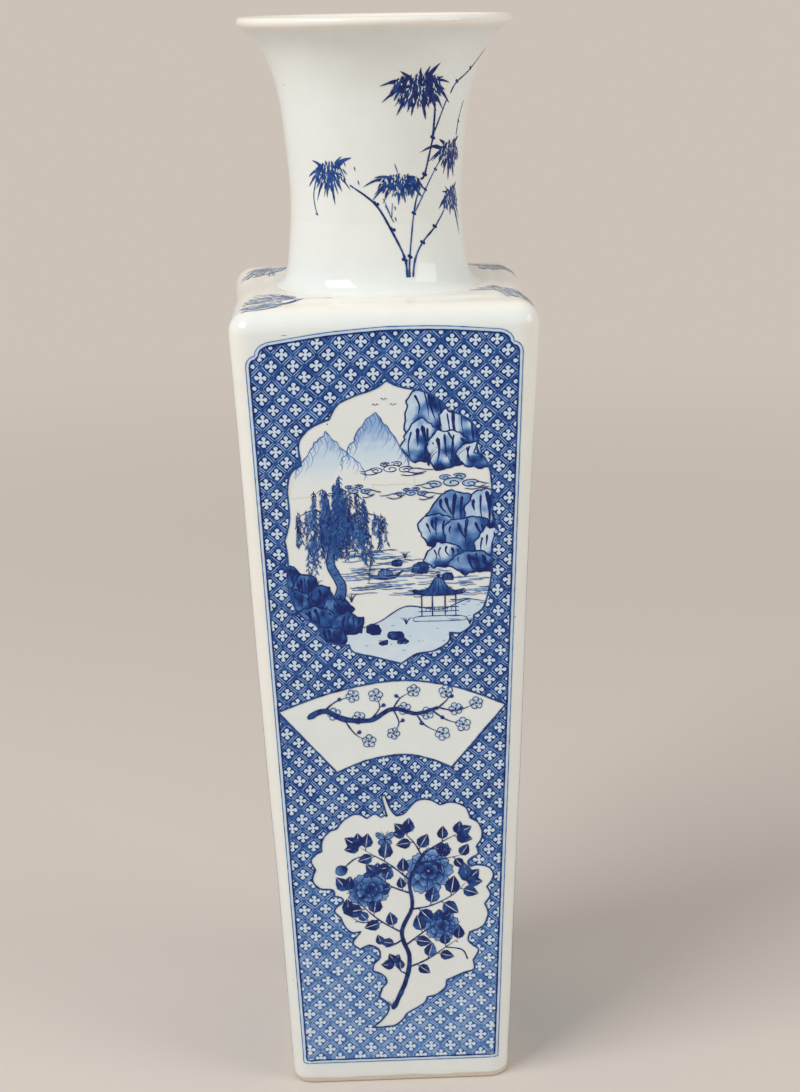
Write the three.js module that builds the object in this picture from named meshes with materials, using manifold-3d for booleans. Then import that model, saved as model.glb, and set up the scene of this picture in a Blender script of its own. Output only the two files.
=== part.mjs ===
// Square mallet vase in porcelain, built from slabs and thrown rings.
// Four tapered wall slabs are mitred at the corners round a recessed base slab.
// A rounded shoulder slab closes the body, and a neck in two thrown sections stands on it.
// Millimetres, +Z up. The origin is the middle of the foot and the front faces -Y.

import * as THREE from 'three';
import { mergeVertices } from 'three/addons/utils/BufferGeometryUtils.js';
import Module from 'manifold-3d';

const wasm = await Module();
wasm.setup();

// Overall sizes
const totalHeight = 580;
const bodyHeight = 442.5;
const footWidth = 121;
const shoulderWidth = 156;

// Body slabs
const wallThickness = 7;
const cornerRadius = 11.5;
const footBevel = 1.5;
const baseRecess = 8;
const baseThickness = 8;
const shoulderThickness = 14;
const shoulderRound = 11;
const shoulderCrown = 2;
const neckLedge = 3;

// Clay pressed into the inner seams
const seamLeg = 8;
const seamHollow = 1.2;
const seamEdge = 1;

// Neck
const waistRadius = 44.3;
const waistHeight = 34;
const neckJointHeight = 34.5;
const neckFootSpread = 7;
const neckFillet = 3;
const neckSwell = 10;
const rimRadius = 69.3;
const neckThickness = 5.6;
const lipTilt = THREE.MathUtils.degToRad(48);

// The slip joint between two fired pieces
const slipGap = 0.3;

// The least rounding that a corner keeps
const sharpestCorner = 0.5;

// Facets
const cornerSegments = 6;
const roundSegments = 6;
const neckSegments = 64;
const lowerNeckSteps = 10;
const upperNeckSteps = 16;
const lipSegments = 8;
const seamSegments = 4;

// Finishes
const glazeColour = 0xe4ece8;
const bareClayColour = 0xd9d3c6;

// Sizes worked out from those above
const shoulderUnderside = bodyHeight - shoulderThickness;
const wallTop = shoulderUnderside - slipGap;
const baseTop = baseRecess + baseThickness;
const throatRadius = waistRadius - neckThickness;
const lipRadius = neckThickness / 2;
const shoulderEdge = bodyHeight - shoulderCrown;
const neckFoot = bodyHeight + slipGap;
const neckFootRadius = waistRadius + neckFootSpread + neckFillet;
const waistZ = bodyHeight + waistHeight;
const neckJointZ = bodyHeight + neckJointHeight;
const lipCentre = new THREE.Vector2(rimRadius - lipRadius, totalHeight - lipRadius);

// Half the outer width of the body at a height, along its straight taper
function halfWidth(z) {
  const foot = footWidth / 2;
  const top = shoulderWidth / 2;
  return foot + ((top - foot) * z) / bodyHeight;
}

// Half the inner width of the body, less the slip joint
function innerHalf(z) {
  return halfWidth(z) - wallThickness - slipGap;
}

// A closed solid through rings of points that match one to one, with flat ends
function loft(rings) {
  const count = rings[0].length;
  const positions = rings.flat().flatMap((point) => [point.x, point.y, point.z]);
  const indices = [];
  for (let ring = 0; ring < rings.length - 1; ring++) {
    for (let i = 0; i < count; i++) {
      const next = (i + 1) % count;
      const low = ring * count;
      const high = low + count;
      indices.push(low + i, low + next, high + next);
      indices.push(low + i, high + next, high + i);
    }
  }
  const capOf = (ring) => THREE.ShapeUtils.triangulateShape(
    ring.map((point) => new THREE.Vector2(point.x, point.y)), []);
  const last = (rings.length - 1) * count;
  for (const [a, b, c] of capOf(rings[0])) indices.push(a, c, b);
  for (const [a, b, c] of capOf(rings.at(-1))) indices.push(last + a, last + b, last + c);
  const geometry = new THREE.BufferGeometry();
  geometry.setAttribute('position', new THREE.Float32BufferAttribute(positions, 3));
  geometry.setIndex(indices);
  return geometry;
}

// A flat outline lifted to a height
function ringAt(outline, z) {
  return outline.map((point) => new THREE.Vector3(point.x, point.y, z));
}

// A square outline with sharp corners, seen from above
function squareOutline(half) {
  return [
    new THREE.Vector2(-half, -half),
    new THREE.Vector2(half, -half),
    new THREE.Vector2(half, half),
    new THREE.Vector2(-half, half),
  ];
}

// A square outline with round corners
function roundedSquareOutline(half, radius) {
  const points = [];
  for (let corner = 0; corner < 4; corner++) {
    const centre = new THREE.Vector2(half - radius, -half + radius);
    for (let i = 0; i <= cornerSegments; i++) {
      const angle = -Math.PI / 2 + ((Math.PI / 2) * i) / cornerSegments;
      const point = new THREE.Vector2(Math.cos(angle), Math.sin(angle)).multiplyScalar(radius);
      points.push(point.add(centre).rotateAround(new THREE.Vector2(), (corner * Math.PI) / 2));
    }
  }
  return points;
}

function toManifold(geometry) {
  const bare = geometry.clone();
  bare.deleteAttribute('normal');
  bare.deleteAttribute('uv');
  const merged = mergeVertices(bare);
  return new wasm.Manifold(new wasm.Mesh({
    numProp: 3,
    vertProperties: new Float32Array(merged.attributes.position.array),
    triVerts: new Uint32Array(merged.index.array),
  }));
}

function fromManifold(solid) {
  const mesh = solid.getMesh();
  const geometry = new THREE.BufferGeometry();
  geometry.setAttribute('position', new THREE.BufferAttribute(mesh.vertProperties, 3));
  geometry.setIndex(new THREE.BufferAttribute(mesh.triVerts, 1));
  return geometry;
}

function cut(body, tool) {
  return fromManifold(toManifold(body).subtract(toManifold(tool)));
}

function porcelain() {
  return new THREE.MeshStandardMaterial({ color: glazeColour, roughness: 0.12, metalness: 0 });
}

function bareClay() {
  return new THREE.MeshStandardMaterial({ color: bareClayColour, roughness: 0.8, metalness: 0 });
}

function piece(name, geometry, material) {
  const mesh = new THREE.Mesh(geometry, material);
  mesh.name = name;
  return mesh;
}

// One wall slab's section, facing -Y, with half of each round corner and a mitre at each end
function wallOutline(half) {
  const mitreBack = slipGap / Math.SQRT2;
  const rightArc = [];
  for (let i = 0; i <= cornerSegments; i++) {
    const angle = -Math.PI / 2 + ((Math.PI / 4) * i) / cornerSegments;
    rightArc.push(new THREE.Vector2(
      half - cornerRadius + cornerRadius * Math.cos(angle),
      -half + cornerRadius + cornerRadius * Math.sin(angle),
    ));
  }
  rightArc.at(-1).x -= mitreBack;
  const inner = half - wallThickness;
  const right = [...rightArc, new THREE.Vector2(inner - mitreBack, -inner)];
  const left = right.map((point) => new THREE.Vector2(-point.x, point.y)).reverse();
  return [...right, ...left];
}

// A wall slab stands on the foot and carries the shoulder. Its outer foot edge is bevelled.
function wallGeometry() {
  const foot = wallOutline(halfWidth(0));
  const bevelled = foot.map((point) => new THREE.Vector2(
    point.x,
    Math.max(point.y, -halfWidth(0) + footBevel),
  ));
  return loft([
    ringAt(bevelled, 0),
    ringAt(wallOutline(halfWidth(footBevel)), footBevel),
    ringAt(wallOutline(halfWidth(wallTop)), wallTop),
  ]);
}

function baseGeometry() {
  return loft([
    ringAt(squareOutline(innerHalf(baseRecess)), baseRecess),
    ringAt(squareOutline(innerHalf(baseTop)), baseTop),
  ]);
}

// The shoulder slab rounds over into the walls, crowns slightly towards a level ledge
// round the neck, and is open under the neck
function shoulderGeometry() {
  const ringWithin = (inset, z) => ringAt(
    roundedSquareOutline(halfWidth(z) - inset, Math.max(cornerRadius - inset, sharpestCorner)), z);
  const rings = [ringWithin(0, shoulderUnderside)];
  for (let i = 0; i <= roundSegments; i++) {
    const angle = ((Math.PI / 2) * i) / roundSegments;
    const z = shoulderEdge - shoulderRound * (1 - Math.sin(angle));
    rings.push(ringWithin(shoulderRound * (1 - Math.cos(angle)), z));
  }
  rings.push(ringAt(roundedSquareOutline(neckFootRadius + neckLedge, sharpestCorner), bodyHeight));
  const hole = new THREE.CylinderGeometry(
    throatRadius, throatRadius, 2 * shoulderThickness, neckSegments);
  hole.rotateX(Math.PI / 2);
  hole.translate(0, 0, bodyHeight - shoulderThickness / 2);
  return cut(loft(rings), hole);
}

// Outer radius of the neck: a spread foot with a small fillet, a waist and a mouth that
// flares to the lip
function neckRadius(z) {
  if (z < waistZ) {
    const drop = (waistZ - z) / waistHeight;
    return waistRadius + (neckFootSpread / 2) * (drop ** 2 + drop ** 6) + neckFillet * drop ** 24;
  }
  const end = flareEnd();
  const rise = (z - waistZ) / (end.y - waistZ);
  const flare = end.x - waistRadius - neckSwell;
  return waistRadius + neckSwell * rise ** 2 + flare * rise ** 6;
}

// Where the outer flare runs into the round lip
function flareEnd() {
  return new THREE.Vector2(
    lipCentre.x + lipRadius * Math.cos(lipTilt),
    lipCentre.y - lipRadius * Math.sin(lipTilt),
  );
}

// The inner surface, one wall thickness inside the outer one along its normal
function innerNeckPoint(z) {
  const step = 0.5;
  const slope = (neckRadius(z + step / 2) - neckRadius(z - step / 2)) / step;
  const length = Math.hypot(1, slope);
  return new THREE.Vector2(
    neckRadius(z) - neckThickness / length,
    z + (neckThickness * slope) / length,
  );
}

// The thrown lower section, luted to the shoulder with a spread foot
function lowerNeckGeometry() {
  const top = neckJointZ - slipGap / 2;
  const profile = [new THREE.Vector2(throatRadius, neckFoot)];
  for (let i = 0; i <= lowerNeckSteps; i++) {
    const z = neckFoot + (top - neckFoot) * (i / lowerNeckSteps) ** 2;
    profile.push(new THREE.Vector2(neckRadius(z), z));
  }
  profile.push(new THREE.Vector2(throatRadius, top));
  profile.push(profile[0].clone());
  return turned(profile);
}

// The thrown trumpet mouth with its thick rolled lip
function upperNeckGeometry() {
  const bottom = neckJointZ + slipGap / 2;
  const top = flareEnd().y;
  const outer = [];
  const inner = [];
  for (let i = 0; i <= upperNeckSteps; i++) {
    const z = bottom + ((top - bottom) * i) / upperNeckSteps;
    outer.push(new THREE.Vector2(neckRadius(z), z));
    if (i > 0 && i < upperNeckSteps) inner.push(innerNeckPoint(z));
  }
  const lip = [];
  for (let i = 1; i <= lipSegments; i++) {
    const angle = -lipTilt + (Math.PI * i) / lipSegments;
    lip.push(new THREE.Vector2(Math.cos(angle), Math.sin(angle))
      .multiplyScalar(lipRadius).add(lipCentre));
  }
  const throat = new THREE.Vector2(throatRadius, bottom);
  return turned([throat, ...outer, ...lip, ...inner.reverse(), throat.clone()]);
}

// A closed profile of radius and height, revolved round the vertical axis
function turned(profile) {
  const geometry = new THREE.LatheGeometry(profile, neckSegments);
  geometry.rotateX(Math.PI / 2);
  return geometry;
}

// Clay pressed into one upright inner corner, with a slightly hollow face
function cornerSeamOutline(half) {
  const points = [];
  for (let i = 0; i <= seamSegments; i++) {
    const along = i / seamSegments;
    const hollow = seamHollow * Math.sin(Math.PI * along) / Math.SQRT2;
    points.push(new THREE.Vector2(
      half - seamLeg * along + hollow,
      -half + seamLeg * (1 - along) - hollow,
    ));
  }
  return [new THREE.Vector2(half, -half), ...points];
}

function cornerSeamGeometry() {
  const low = baseTop + seamLeg + 2 * slipGap;
  const high = shoulderUnderside - seamLeg - 2 * slipGap;
  return loft([
    ringAt(cornerSeamOutline(innerHalf(low)), low),
    ringAt(cornerSeamOutline(innerHalf(high)), high),
  ]);
}

// A square ring of clay in the seam between the walls and a level slab.
// Its sloping face runs from the slab to the walls.
function levelSeamGeometry(slabZ, wallZ) {
  const low = Math.min(slabZ, wallZ);
  const high = Math.max(slabZ, wallZ);
  const reach = (z) => innerHalf(z) - (z === slabZ ? seamLeg : seamEdge);
  const block = loft([
    ringAt(squareOutline(innerHalf(low)), low),
    ringAt(squareOutline(innerHalf(high)), high),
  ]);
  const slope = (reach(high) - reach(low)) / (high - low);
  const past = 1;
  const opening = loft([
    ringAt(squareOutline(reach(low) - slope * past), low - past),
    ringAt(squareOutline(reach(high) + slope * past), high + past),
  ]);
  return cut(block, opening);
}

const vase = new THREE.Group();

const sides = ['front', 'right', 'back', 'left'];
sides.forEach((side, turn) => {
  const wall = piece(`${side}_wall`, wallGeometry(), porcelain());
  wall.rotation.z = (turn * Math.PI) / 2;
  vase.add(wall);
});

const corners = ['front_right', 'back_right', 'back_left', 'front_left'];
corners.forEach((corner, turn) => {
  const seam = piece(`${corner}_inner_seam`, cornerSeamGeometry(), bareClay());
  seam.rotation.z = (turn * Math.PI) / 2;
  vase.add(seam);
});

const baseSeamFoot = baseTop + slipGap;
const shoulderSeamTop = shoulderUnderside - slipGap;
vase.add(piece('base', baseGeometry(), bareClay()));
vase.add(piece('base_inner_seam', levelSeamGeometry(baseSeamFoot, baseSeamFoot + seamLeg - slipGap),
  bareClay()));
vase.add(piece('shoulder_inner_seam',
  levelSeamGeometry(shoulderSeamTop, shoulderSeamTop - seamLeg + slipGap), bareClay()));
vase.add(piece('shoulder', shoulderGeometry(), porcelain()));
vase.add(piece('neck_lower', lowerNeckGeometry(), porcelain()));
vase.add(piece('neck_mouth', upperNeckGeometry(), porcelain()));

export default vase;
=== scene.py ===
import math
import random

import bmesh
import bpy
import numpy as np
from mathutils import Matrix, Vector, noise
from mathutils.bvhtree import BVHTree
from mathutils.geometry import barycentric_transform, delaunay_2d_cdt


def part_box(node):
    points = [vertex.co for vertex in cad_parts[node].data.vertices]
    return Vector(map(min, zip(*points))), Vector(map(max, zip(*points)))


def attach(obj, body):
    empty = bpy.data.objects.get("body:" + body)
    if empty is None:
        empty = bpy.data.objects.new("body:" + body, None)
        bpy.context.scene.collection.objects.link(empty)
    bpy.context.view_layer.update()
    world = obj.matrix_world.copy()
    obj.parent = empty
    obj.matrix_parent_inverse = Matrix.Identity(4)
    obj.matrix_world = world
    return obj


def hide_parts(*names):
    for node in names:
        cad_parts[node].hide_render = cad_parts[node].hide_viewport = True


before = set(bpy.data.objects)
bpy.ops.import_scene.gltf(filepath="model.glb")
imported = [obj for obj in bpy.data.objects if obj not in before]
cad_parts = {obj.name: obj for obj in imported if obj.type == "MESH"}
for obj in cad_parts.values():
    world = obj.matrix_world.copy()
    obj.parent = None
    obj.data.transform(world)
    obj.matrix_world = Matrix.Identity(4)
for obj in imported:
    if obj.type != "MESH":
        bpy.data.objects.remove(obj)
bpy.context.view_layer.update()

bl_info = {
    "name": "Square mallet vase",
    "version": (1, 0, 0),
    "blender": (4, 5, 0),
    "location": "3D View > Sidebar > Vase",
    "description": "Models and paints a slab-built blue and white porcelain vase and sets its stage",
    "category": "Add Mesh",
}

MM = 0.001
WALLS = ("front_wall", "right_wall", "back_wall", "left_wall")
WALL_LOW, WALL_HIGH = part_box("front_wall")
SHOULDER_LOW, SHOULDER_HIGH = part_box("shoulder")
NECK_FOOT_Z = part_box("neck_lower")[0].z
MOUTH_LOW, MOUTH_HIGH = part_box("neck_mouth")
PHOTO_HEIGHT = 1092

# The noise that warps the forms and roughens the outlines starts from this seed, the same in each run
NOISE_SEED = 7
noise.seed_set(NOISE_SEED)

# Finished surfaces that paint is laid on, and the materials of the glaze, by name
surfaces = {}
glazes = {}


class VaseBody(bpy.types.PropertyGroup):
    foot_width: bpy.props.FloatProperty(
        name="Foot width", description="Outer width of the body where it stands",
        default=0.121, unit="LENGTH")
    corner_radius: bpy.props.FloatProperty(
        name="Corner radius", description="Rounding of the upright and upper edges",
        default=0.0115, unit="LENGTH")
    wall_thickness: bpy.props.FloatProperty(
        name="Wall thickness", description="Thickness of a wall slab",
        default=0.007, unit="LENGTH")
    foot_bevel: bpy.props.FloatProperty(
        name="Foot bevel", description="Wiped edge of the foot", default=0.0015, unit="LENGTH")
    shoulder_crown: bpy.props.FloatProperty(
        name="Shoulder crown", description="How far the shoulder rises towards the neck",
        default=0.002, unit="LENGTH")
    unevenness: bpy.props.FloatProperty(
        name="Unevenness", description="How far a wall strays from flat",
        default=0.0008, unit="LENGTH")


class VaseNeck(bpy.types.PropertyGroup):
    waist_radius: bpy.props.FloatProperty(
        name="Waist radius", description="Outer radius at the narrowest place",
        default=0.0443, unit="LENGTH")
    waist_height: bpy.props.FloatProperty(
        name="Waist height", description="Height of the waist above the shoulder",
        default=0.034, unit="LENGTH")
    foot_spread: bpy.props.FloatProperty(
        name="Foot spread", description="How far the foot of the neck spreads",
        default=0.007, unit="LENGTH")
    foot_fillet: bpy.props.FloatProperty(
        name="Foot fillet", description="Slip smoothed into the seam with the shoulder",
        default=0.003, unit="LENGTH")
    swell: bpy.props.FloatProperty(
        name="Swell", description="Slow widening above the waist", default=0.010, unit="LENGTH")
    thickness: bpy.props.FloatProperty(
        name="Thickness", description="Thickness of the neck's wall",
        default=0.0056, unit="LENGTH")
    lip_radius: bpy.props.FloatProperty(
        name="Lip radius", description="Half the thickness of the rolled lip", default=0.0034,
        unit="LENGTH")
    lip_tilt: bpy.props.FloatProperty(
        name="Lip tilt", description="Where the flare runs into the round lip",
        default=math.radians(48), unit="ROTATION")
    lean: bpy.props.FloatProperty(
        name="Lean", description="How far the neck sits off the middle",
        default=0.0015, unit="LENGTH")
    droop: bpy.props.FloatProperty(
        name="Droop", description="How far the lip sank in the kiln", default=0.0014, unit="LENGTH")


class VaseColours(bpy.types.PropertyGroup):
    glaze: bpy.props.FloatVectorProperty(
        name="Glaze", description="Glazed porcelain, faintly blue-green",
        default=(0.745, 0.797, 0.79), subtype="COLOR", min=0, max=1)
    # Warm white of thin glaze, set brighter than the glaze as painted light on the edges, the shoulder's
    # edge and the lip
    warm_glaze_and_edge_light: bpy.props.FloatVectorProperty(
        name="Warm glaze", description="Glazed porcelain where the glaze runs thin over an edge",
        default=(0.845, 0.813, 0.74), subtype="COLOR", min=0, max=1)
    bare_clay: bpy.props.FloatVectorProperty(
        name="Bare clay", description="Unglazed fired porcelain",
        default=(0.66, 0.6, 0.5), subtype="COLOR", min=0, max=1)
    iron: bpy.props.FloatVectorProperty(
        name="Iron speck", description="Pin-sized spots of iron in the glaze",
        default=(0.09, 0.06, 0.04), subtype="COLOR", min=0, max=1)
    toasted: bpy.props.FloatVectorProperty(
        name="Toasted rim", description="Line where the glaze ends above the foot",
        default=(0.5, 0.33, 0.2), subtype="COLOR", min=0, max=1)


class VasePattern(bpy.types.PropertyGroup):
    cell_width: bpy.props.FloatProperty(
        name="Cell width", description="Width of a diamond of the ground",
        default=0.0112, unit="LENGTH")
    cell_height: bpy.props.FloatProperty(
        name="Cell height", description="Height of a diamond of the ground",
        default=0.011, unit="LENGTH")
    outline_width: bpy.props.FloatProperty(
        name="Outline width", description="Brush width of the lines round the panels",
        default=0.00095, unit="LENGTH")
    seed: bpy.props.IntProperty(
        name="Seed", description="Start of the hand's small differences", default=7)


class VaseStage(bpy.types.PropertyGroup):
    floor: bpy.props.FloatVectorProperty(
        name="Floor", description="Pale floor round the vase",
        default=(0.66, 0.595, 0.535), subtype="COLOR", min=0, max=1)
    backdrop: bpy.props.FloatVectorProperty(
        name="Backdrop", description="Plain colour that the floor runs out into",
        default=(0.605, 0.54, 0.48), subtype="COLOR", min=0, max=1)
    room_strength: bpy.props.FloatProperty(
        name="Room light", description="Strength of the even light all round", default=0.5)
    window_power: bpy.props.FloatProperty(
        name="Window", description="Power of the soft light from the upper left",
        default=36, unit="POWER")
    camera_distance: bpy.props.FloatProperty(
        name="Camera distance", description="Level distance from the vase's axis",
        default=0.9925, unit="LENGTH")
    camera_height: bpy.props.FloatProperty(
        name="Camera height", description="Height of the lens above the floor",
        default=0.5799, unit="LENGTH")
    camera_side: bpy.props.FloatProperty(
        name="Camera side", description="Sideways place of the lens",
        default=-0.0113, unit="LENGTH")
    camera_pitch: bpy.props.FloatProperty(
        name="Camera pitch", description="How far the lens looks down",
        default=math.radians(15.97), unit="ROTATION")
    camera_pan: bpy.props.FloatProperty(
        name="Camera pan", description="How far the lens looks to the right",
        default=math.radians(1.85), unit="ROTATION")
    camera_roll: bpy.props.FloatProperty(
        name="Camera roll", description="Lean of the picture",
        default=math.radians(-1.07), unit="ROTATION")
    focal_pixels: bpy.props.FloatProperty(
        name="Focal length", description="Focal length in pixels of the photograph", default=1869.4)
    shift_pixels: bpy.props.FloatProperty(
        name="Shift", description="Sideways shift in pixels of the photograph", default=25.0)


# Small helpers

def clamp(value, low=0.0, high=1.0):
    return min(max(value, low), high)


def smooth(low, high, value):
    """0 at low, 1 at high, with an easy start and end."""
    t = clamp((value - low) / (high - low))
    return t * t * (3 - 2 * t)


def hump(distance, reach):
    """1 at no distance, falling off softly over the reach."""
    return math.exp(-(distance / reach) ** 2)


def deselect_all():
    bpy.ops.object.select_all(action="DESELECT")


def activate(piece):
    deselect_all()
    piece.select_set(True)
    bpy.context.view_layer.objects.active = piece


def settle(piece):
    """Put a piece's place, turn and size into its mesh."""
    activate(piece)
    bpy.ops.object.transform_apply(location=True, rotation=True, scale=True)


def copy_of(piece, name):
    copy = piece.copy()
    copy.data = piece.data.copy()
    copy.name = copy.data.name = name
    bpy.context.collection.objects.link(copy)
    return copy


def select_where(piece, kind, wanted):
    """Select the verts, edges or faces that pass a test, in edit mode."""
    bpy.ops.mesh.select_mode(type={"verts": "VERT", "edges": "EDGE", "faces": "FACE"}[kind])
    bpy.ops.mesh.select_all(action="DESELECT")
    mesh = bmesh.from_edit_mesh(piece.data)
    for part in getattr(mesh, kind):
        if wanted(part):
            part.select_set(True)
    mesh.select_flush_mode()
    bmesh.update_edit_mesh(piece.data)


def slice_at(place, normal, clear=False):
    """Cut the whole mesh by a plane. With clear, what lies beyond it goes and the cut is closed."""
    bpy.ops.mesh.select_all(action="SELECT")
    bpy.ops.mesh.bisect(plane_co=place, plane_no=normal, use_fill=clear, clear_outer=clear)


def finish_piece(piece, slot, *nodes):
    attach(piece, "root")
    if nodes:
        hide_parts(*nodes)


class Surface:
    """The glazed outside of a form, which says where paint lies and which way it faces."""

    def __init__(self, form):
        mesh = form.data
        mesh.calc_loop_triangles()
        self.places = [vertex.co.copy() for vertex in mesh.vertices]
        self.normals = [vertex.normal.copy() for vertex in mesh.vertices]
        self.triangles = [tuple(triangle.vertices) for triangle in mesh.loop_triangles]
        self.tree = BVHTree.FromPolygons(self.places, self.triangles)

    def normal_at(self, place, index):
        corners = self.triangles[index]
        sides = [self.places[i] for i in corners] + [self.normals[i] for i in corners]
        return barycentric_transform(place, *sides).normalized()

    def under(self, start, direction):
        place, _, index, _ = self.tree.ray_cast(start, direction)
        if place is None:
            raise RuntimeError(f"paint misses the surface at {tuple(start)}")
        return place, self.normal_at(place, index)

    def lend_gloss(self, piece):
        """Give a piece cut from this form the form's own smooth normals along its outside."""
        mesh = piece.data
        near = 0.05 * MM
        normals = [(0, 0, 0)] * len(mesh.loops)
        for face in mesh.polygons:
            for corner in face.loop_indices:
                place = mesh.vertices[mesh.loops[corner].vertex_index].co
                spot, _, index, _ = self.tree.find_nearest(place, near)
                if spot is not None:
                    normal = self.normal_at(spot, index)
                    if normal.dot(face.normal) > 0.7:
                        normals[corner] = tuple(normal)
        mesh.shade_smooth()
        mesh.normals_split_custom_set(normals)


# The body

# Where an upright corner stands off the axis, and how far the kiln moved the body there
CORNER = 0.078
SUNK_CORNER, RAISED_BACK, PULLED_CORNER = 0.002, 0.002, 0.0036

# Distance between the cuts that let the body be uneven, and the closer ones at the shoulder's ledge
NET = 0.007
LEDGE_START, LEDGE_NET = 0.0545, 0.0018


def taper():
    """How much the body's half width grows with height."""
    foot = bpy.context.scene.vase_body.foot_width / 2
    return (-WALL_LOW.y - foot) / WALL_HIGH.z


def half_width(z):
    return bpy.context.scene.vase_body.foot_width / 2 + taper() * z


def off_middle(x, y):
    """Distance from the axis, measured so that a soft-cornered square is one distance."""
    return (x ** 8 + y ** 8) ** (1 / 8)


def handmade(point):
    """Where hands, drying and the kiln left a point of the true body."""
    body = bpy.context.scene.vase_body
    x, y, z = point
    wander = noise.noise_vector(point * 7) + 0.3 * noise.noise_vector(point * 22)
    wander *= body.unevenness * smooth(0, 0.04, z)
    top = smooth(0.405, 0.438, z)
    away = off_middle(x, y)
    ripple = 0.003 * noise.noise(Vector((x, y, 0)) * 30)
    ledge = smooth(0.0625, 0.0575, away + ripple)
    crown = body.shoulder_crown * (0.5 * smooth(0.075, 0.056, away) + 0.5 * ledge)
    sag = SUNK_CORNER * hump(math.hypot(x + CORNER, y + CORNER), 0.035)
    raised = RAISED_BACK * smooth(0.01, 0.075, y)
    pulled = PULLED_CORNER * smooth(0.22, 0.44, z) * hump(math.hypot(x + CORNER, y - CORNER), 0.042)
    lift = top * (wander.z / 2 + crown - sag + raised)
    return Vector((x + wander.x - pulled, y + wander.y + pulled, z + lift))


def make_uneven(piece, shape):
    for vertex in piece.data.vertices:
        vertex.co = shape(vertex.co)
    piece.data.update()


def body_form(body):
    """The whole body as one closed form, its edges rounded, with a net of cuts for its unevenness."""
    height = SHOULDER_HIGH.z - body.shoulder_crown
    top = half_width(height)
    foot = body.foot_width / 2
    deselect_all()
    bpy.ops.mesh.primitive_cube_add(
        size=1, location=(0, 0, height / 2), scale=(2 * top, 2 * top, height))
    form = bpy.context.object
    form.name = "body_form"
    settle(form)
    bpy.ops.object.mode_set(mode="EDIT")
    select_where(form, "faces", lambda face: face.normal.z < -0.9)
    bpy.ops.transform.resize(value=(foot / top, foot / top, 1), center_override=(0, 0, 0))
    select_where(form, "edges", lambda edge: max(v.co.z for v in edge.verts) > MM)
    bpy.ops.mesh.bevel(offset=body.corner_radius, segments=16, profile=0.5, affect="EDGES")
    select_where(form, "edges", lambda edge: max(v.co.z for v in edge.verts) < 0.01 * MM)
    bpy.ops.mesh.bevel(offset=body.foot_bevel, segments=3, profile=0.5, affect="EDGES")
    for level in range(1, int(height / NET)):
        slice_at((0, 0, level * NET), (0, 0, 1))
    reach = top - body.corner_radius
    lines = [NET * step for step in range(-9, 10)]
    lines += [side * (LEDGE_START + LEDGE_NET * step) for side in (-1, 1) for step in range(1, 5)]
    for across in lines:
        if abs(across) < reach - MM:
            slice_at((across, 0, 0), (1, 0, 0))
            slice_at((0, across, 0), (0, 1, 0))
    bpy.ops.object.mode_set(mode="OBJECT")
    return form


def cut_wall(form, body):
    """The front wall slab: the form between its two mitres, below the shoulder, one wall deep."""
    wall = copy_of(form, WALLS[0])
    activate(wall)
    bpy.ops.object.mode_set(mode="EDIT")
    slice_at((0, 0, 0), (1, 1, 0), clear=True)
    slice_at((0, 0, 0), (-1, 1, 0), clear=True)
    slice_at((0, 0, SHOULDER_LOW.z), (0, 0, 1), clear=True)
    inner = half_width(0) - body.wall_thickness
    slice_at((0, -inner, 0), (0, 1, taper()), clear=True)
    bpy.ops.object.mode_set(mode="OBJECT")
    return wall


def cut_shoulder(form):
    """The shoulder slab: the top of the form, open under the neck."""
    shoulder = copy_of(form, "shoulder_slab")
    activate(shoulder)
    bpy.ops.object.mode_set(mode="EDIT")
    slice_at((0, 0, SHOULDER_LOW.z), (0, 0, -1), clear=True)
    bpy.ops.object.mode_set(mode="OBJECT")
    neck = bpy.context.scene.vase_neck
    deselect_all()
    bpy.ops.mesh.primitive_cylinder_add(
        vertices=128, radius=neck.waist_radius - neck.thickness, depth=0.06,
        location=(0, 0, SHOULDER_LOW.z))
    drill = bpy.context.object
    activate(shoulder)
    hole = shoulder.modifiers.new("hole", "BOOLEAN")
    hole.object = drill
    hole.solver = "EXACT"
    bpy.ops.object.modifier_apply(modifier="hole")
    bpy.data.objects.remove(drill)
    return shoulder


class VASE_OT_body(bpy.types.Operator):
    """Build the four wall slabs and the shoulder slab"""
    bl_idname = "vase.body"
    bl_label = "Walls and shoulder"

    def execute(self, context):
        body = context.scene.vase_body
        form = body_form(body)
        first = cut_wall(form, body)
        walls = [first] + [copy_of(first, name) for name in WALLS[1:]]
        for turn, wall in enumerate(walls):
            wall.name = WALLS[turn] + "_slab"
            activate(wall)
            wall.matrix_world = Matrix.Rotation(turn * math.pi / 2, 4, "Z")
            settle(wall)
        shoulder = cut_shoulder(form)
        for piece in (form, shoulder, *walls):
            make_uneven(piece, handmade)
        form.data.shade_smooth()
        surfaces["body"] = Surface(form)
        for piece in (shoulder, *walls):
            surfaces["body"].lend_gloss(piece)
            piece.data.materials.clear()
        for name, wall in zip(WALLS, walls):
            wall.data.materials.append(glazes["wall"])
            finish_piece(wall, "painted_porcelain", name)
        shoulder.data.materials.append(glazes["white"])
        finish_piece(shoulder, "white_porcelain", "shoulder")
        bpy.data.objects.remove(form)
        return {"FINISHED"}


# The neck

# Rings that the wheel left fuller or slimmer: height, reach and share of the radius
THROWING_RINGS = ((0.4625, 0.017, 0.026), (0.52, 0.022, 0.016), (0.566, 0.01, -0.014))
LIP_WIDENING = 0.03
LIP_TURNS = 14
GROOVE = 0.12 * MM


def lip_centre(neck):
    return Vector((MOUTH_HIGH.x - neck.lip_radius, MOUTH_HIGH.z - neck.lip_radius))


def flare_end(neck):
    """Where the outer flare runs into the round lip, as radius and height."""
    outwards = Vector((math.cos(neck.lip_tilt), -math.sin(neck.lip_tilt)))
    return lip_centre(neck) + neck.lip_radius * outwards


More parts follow.
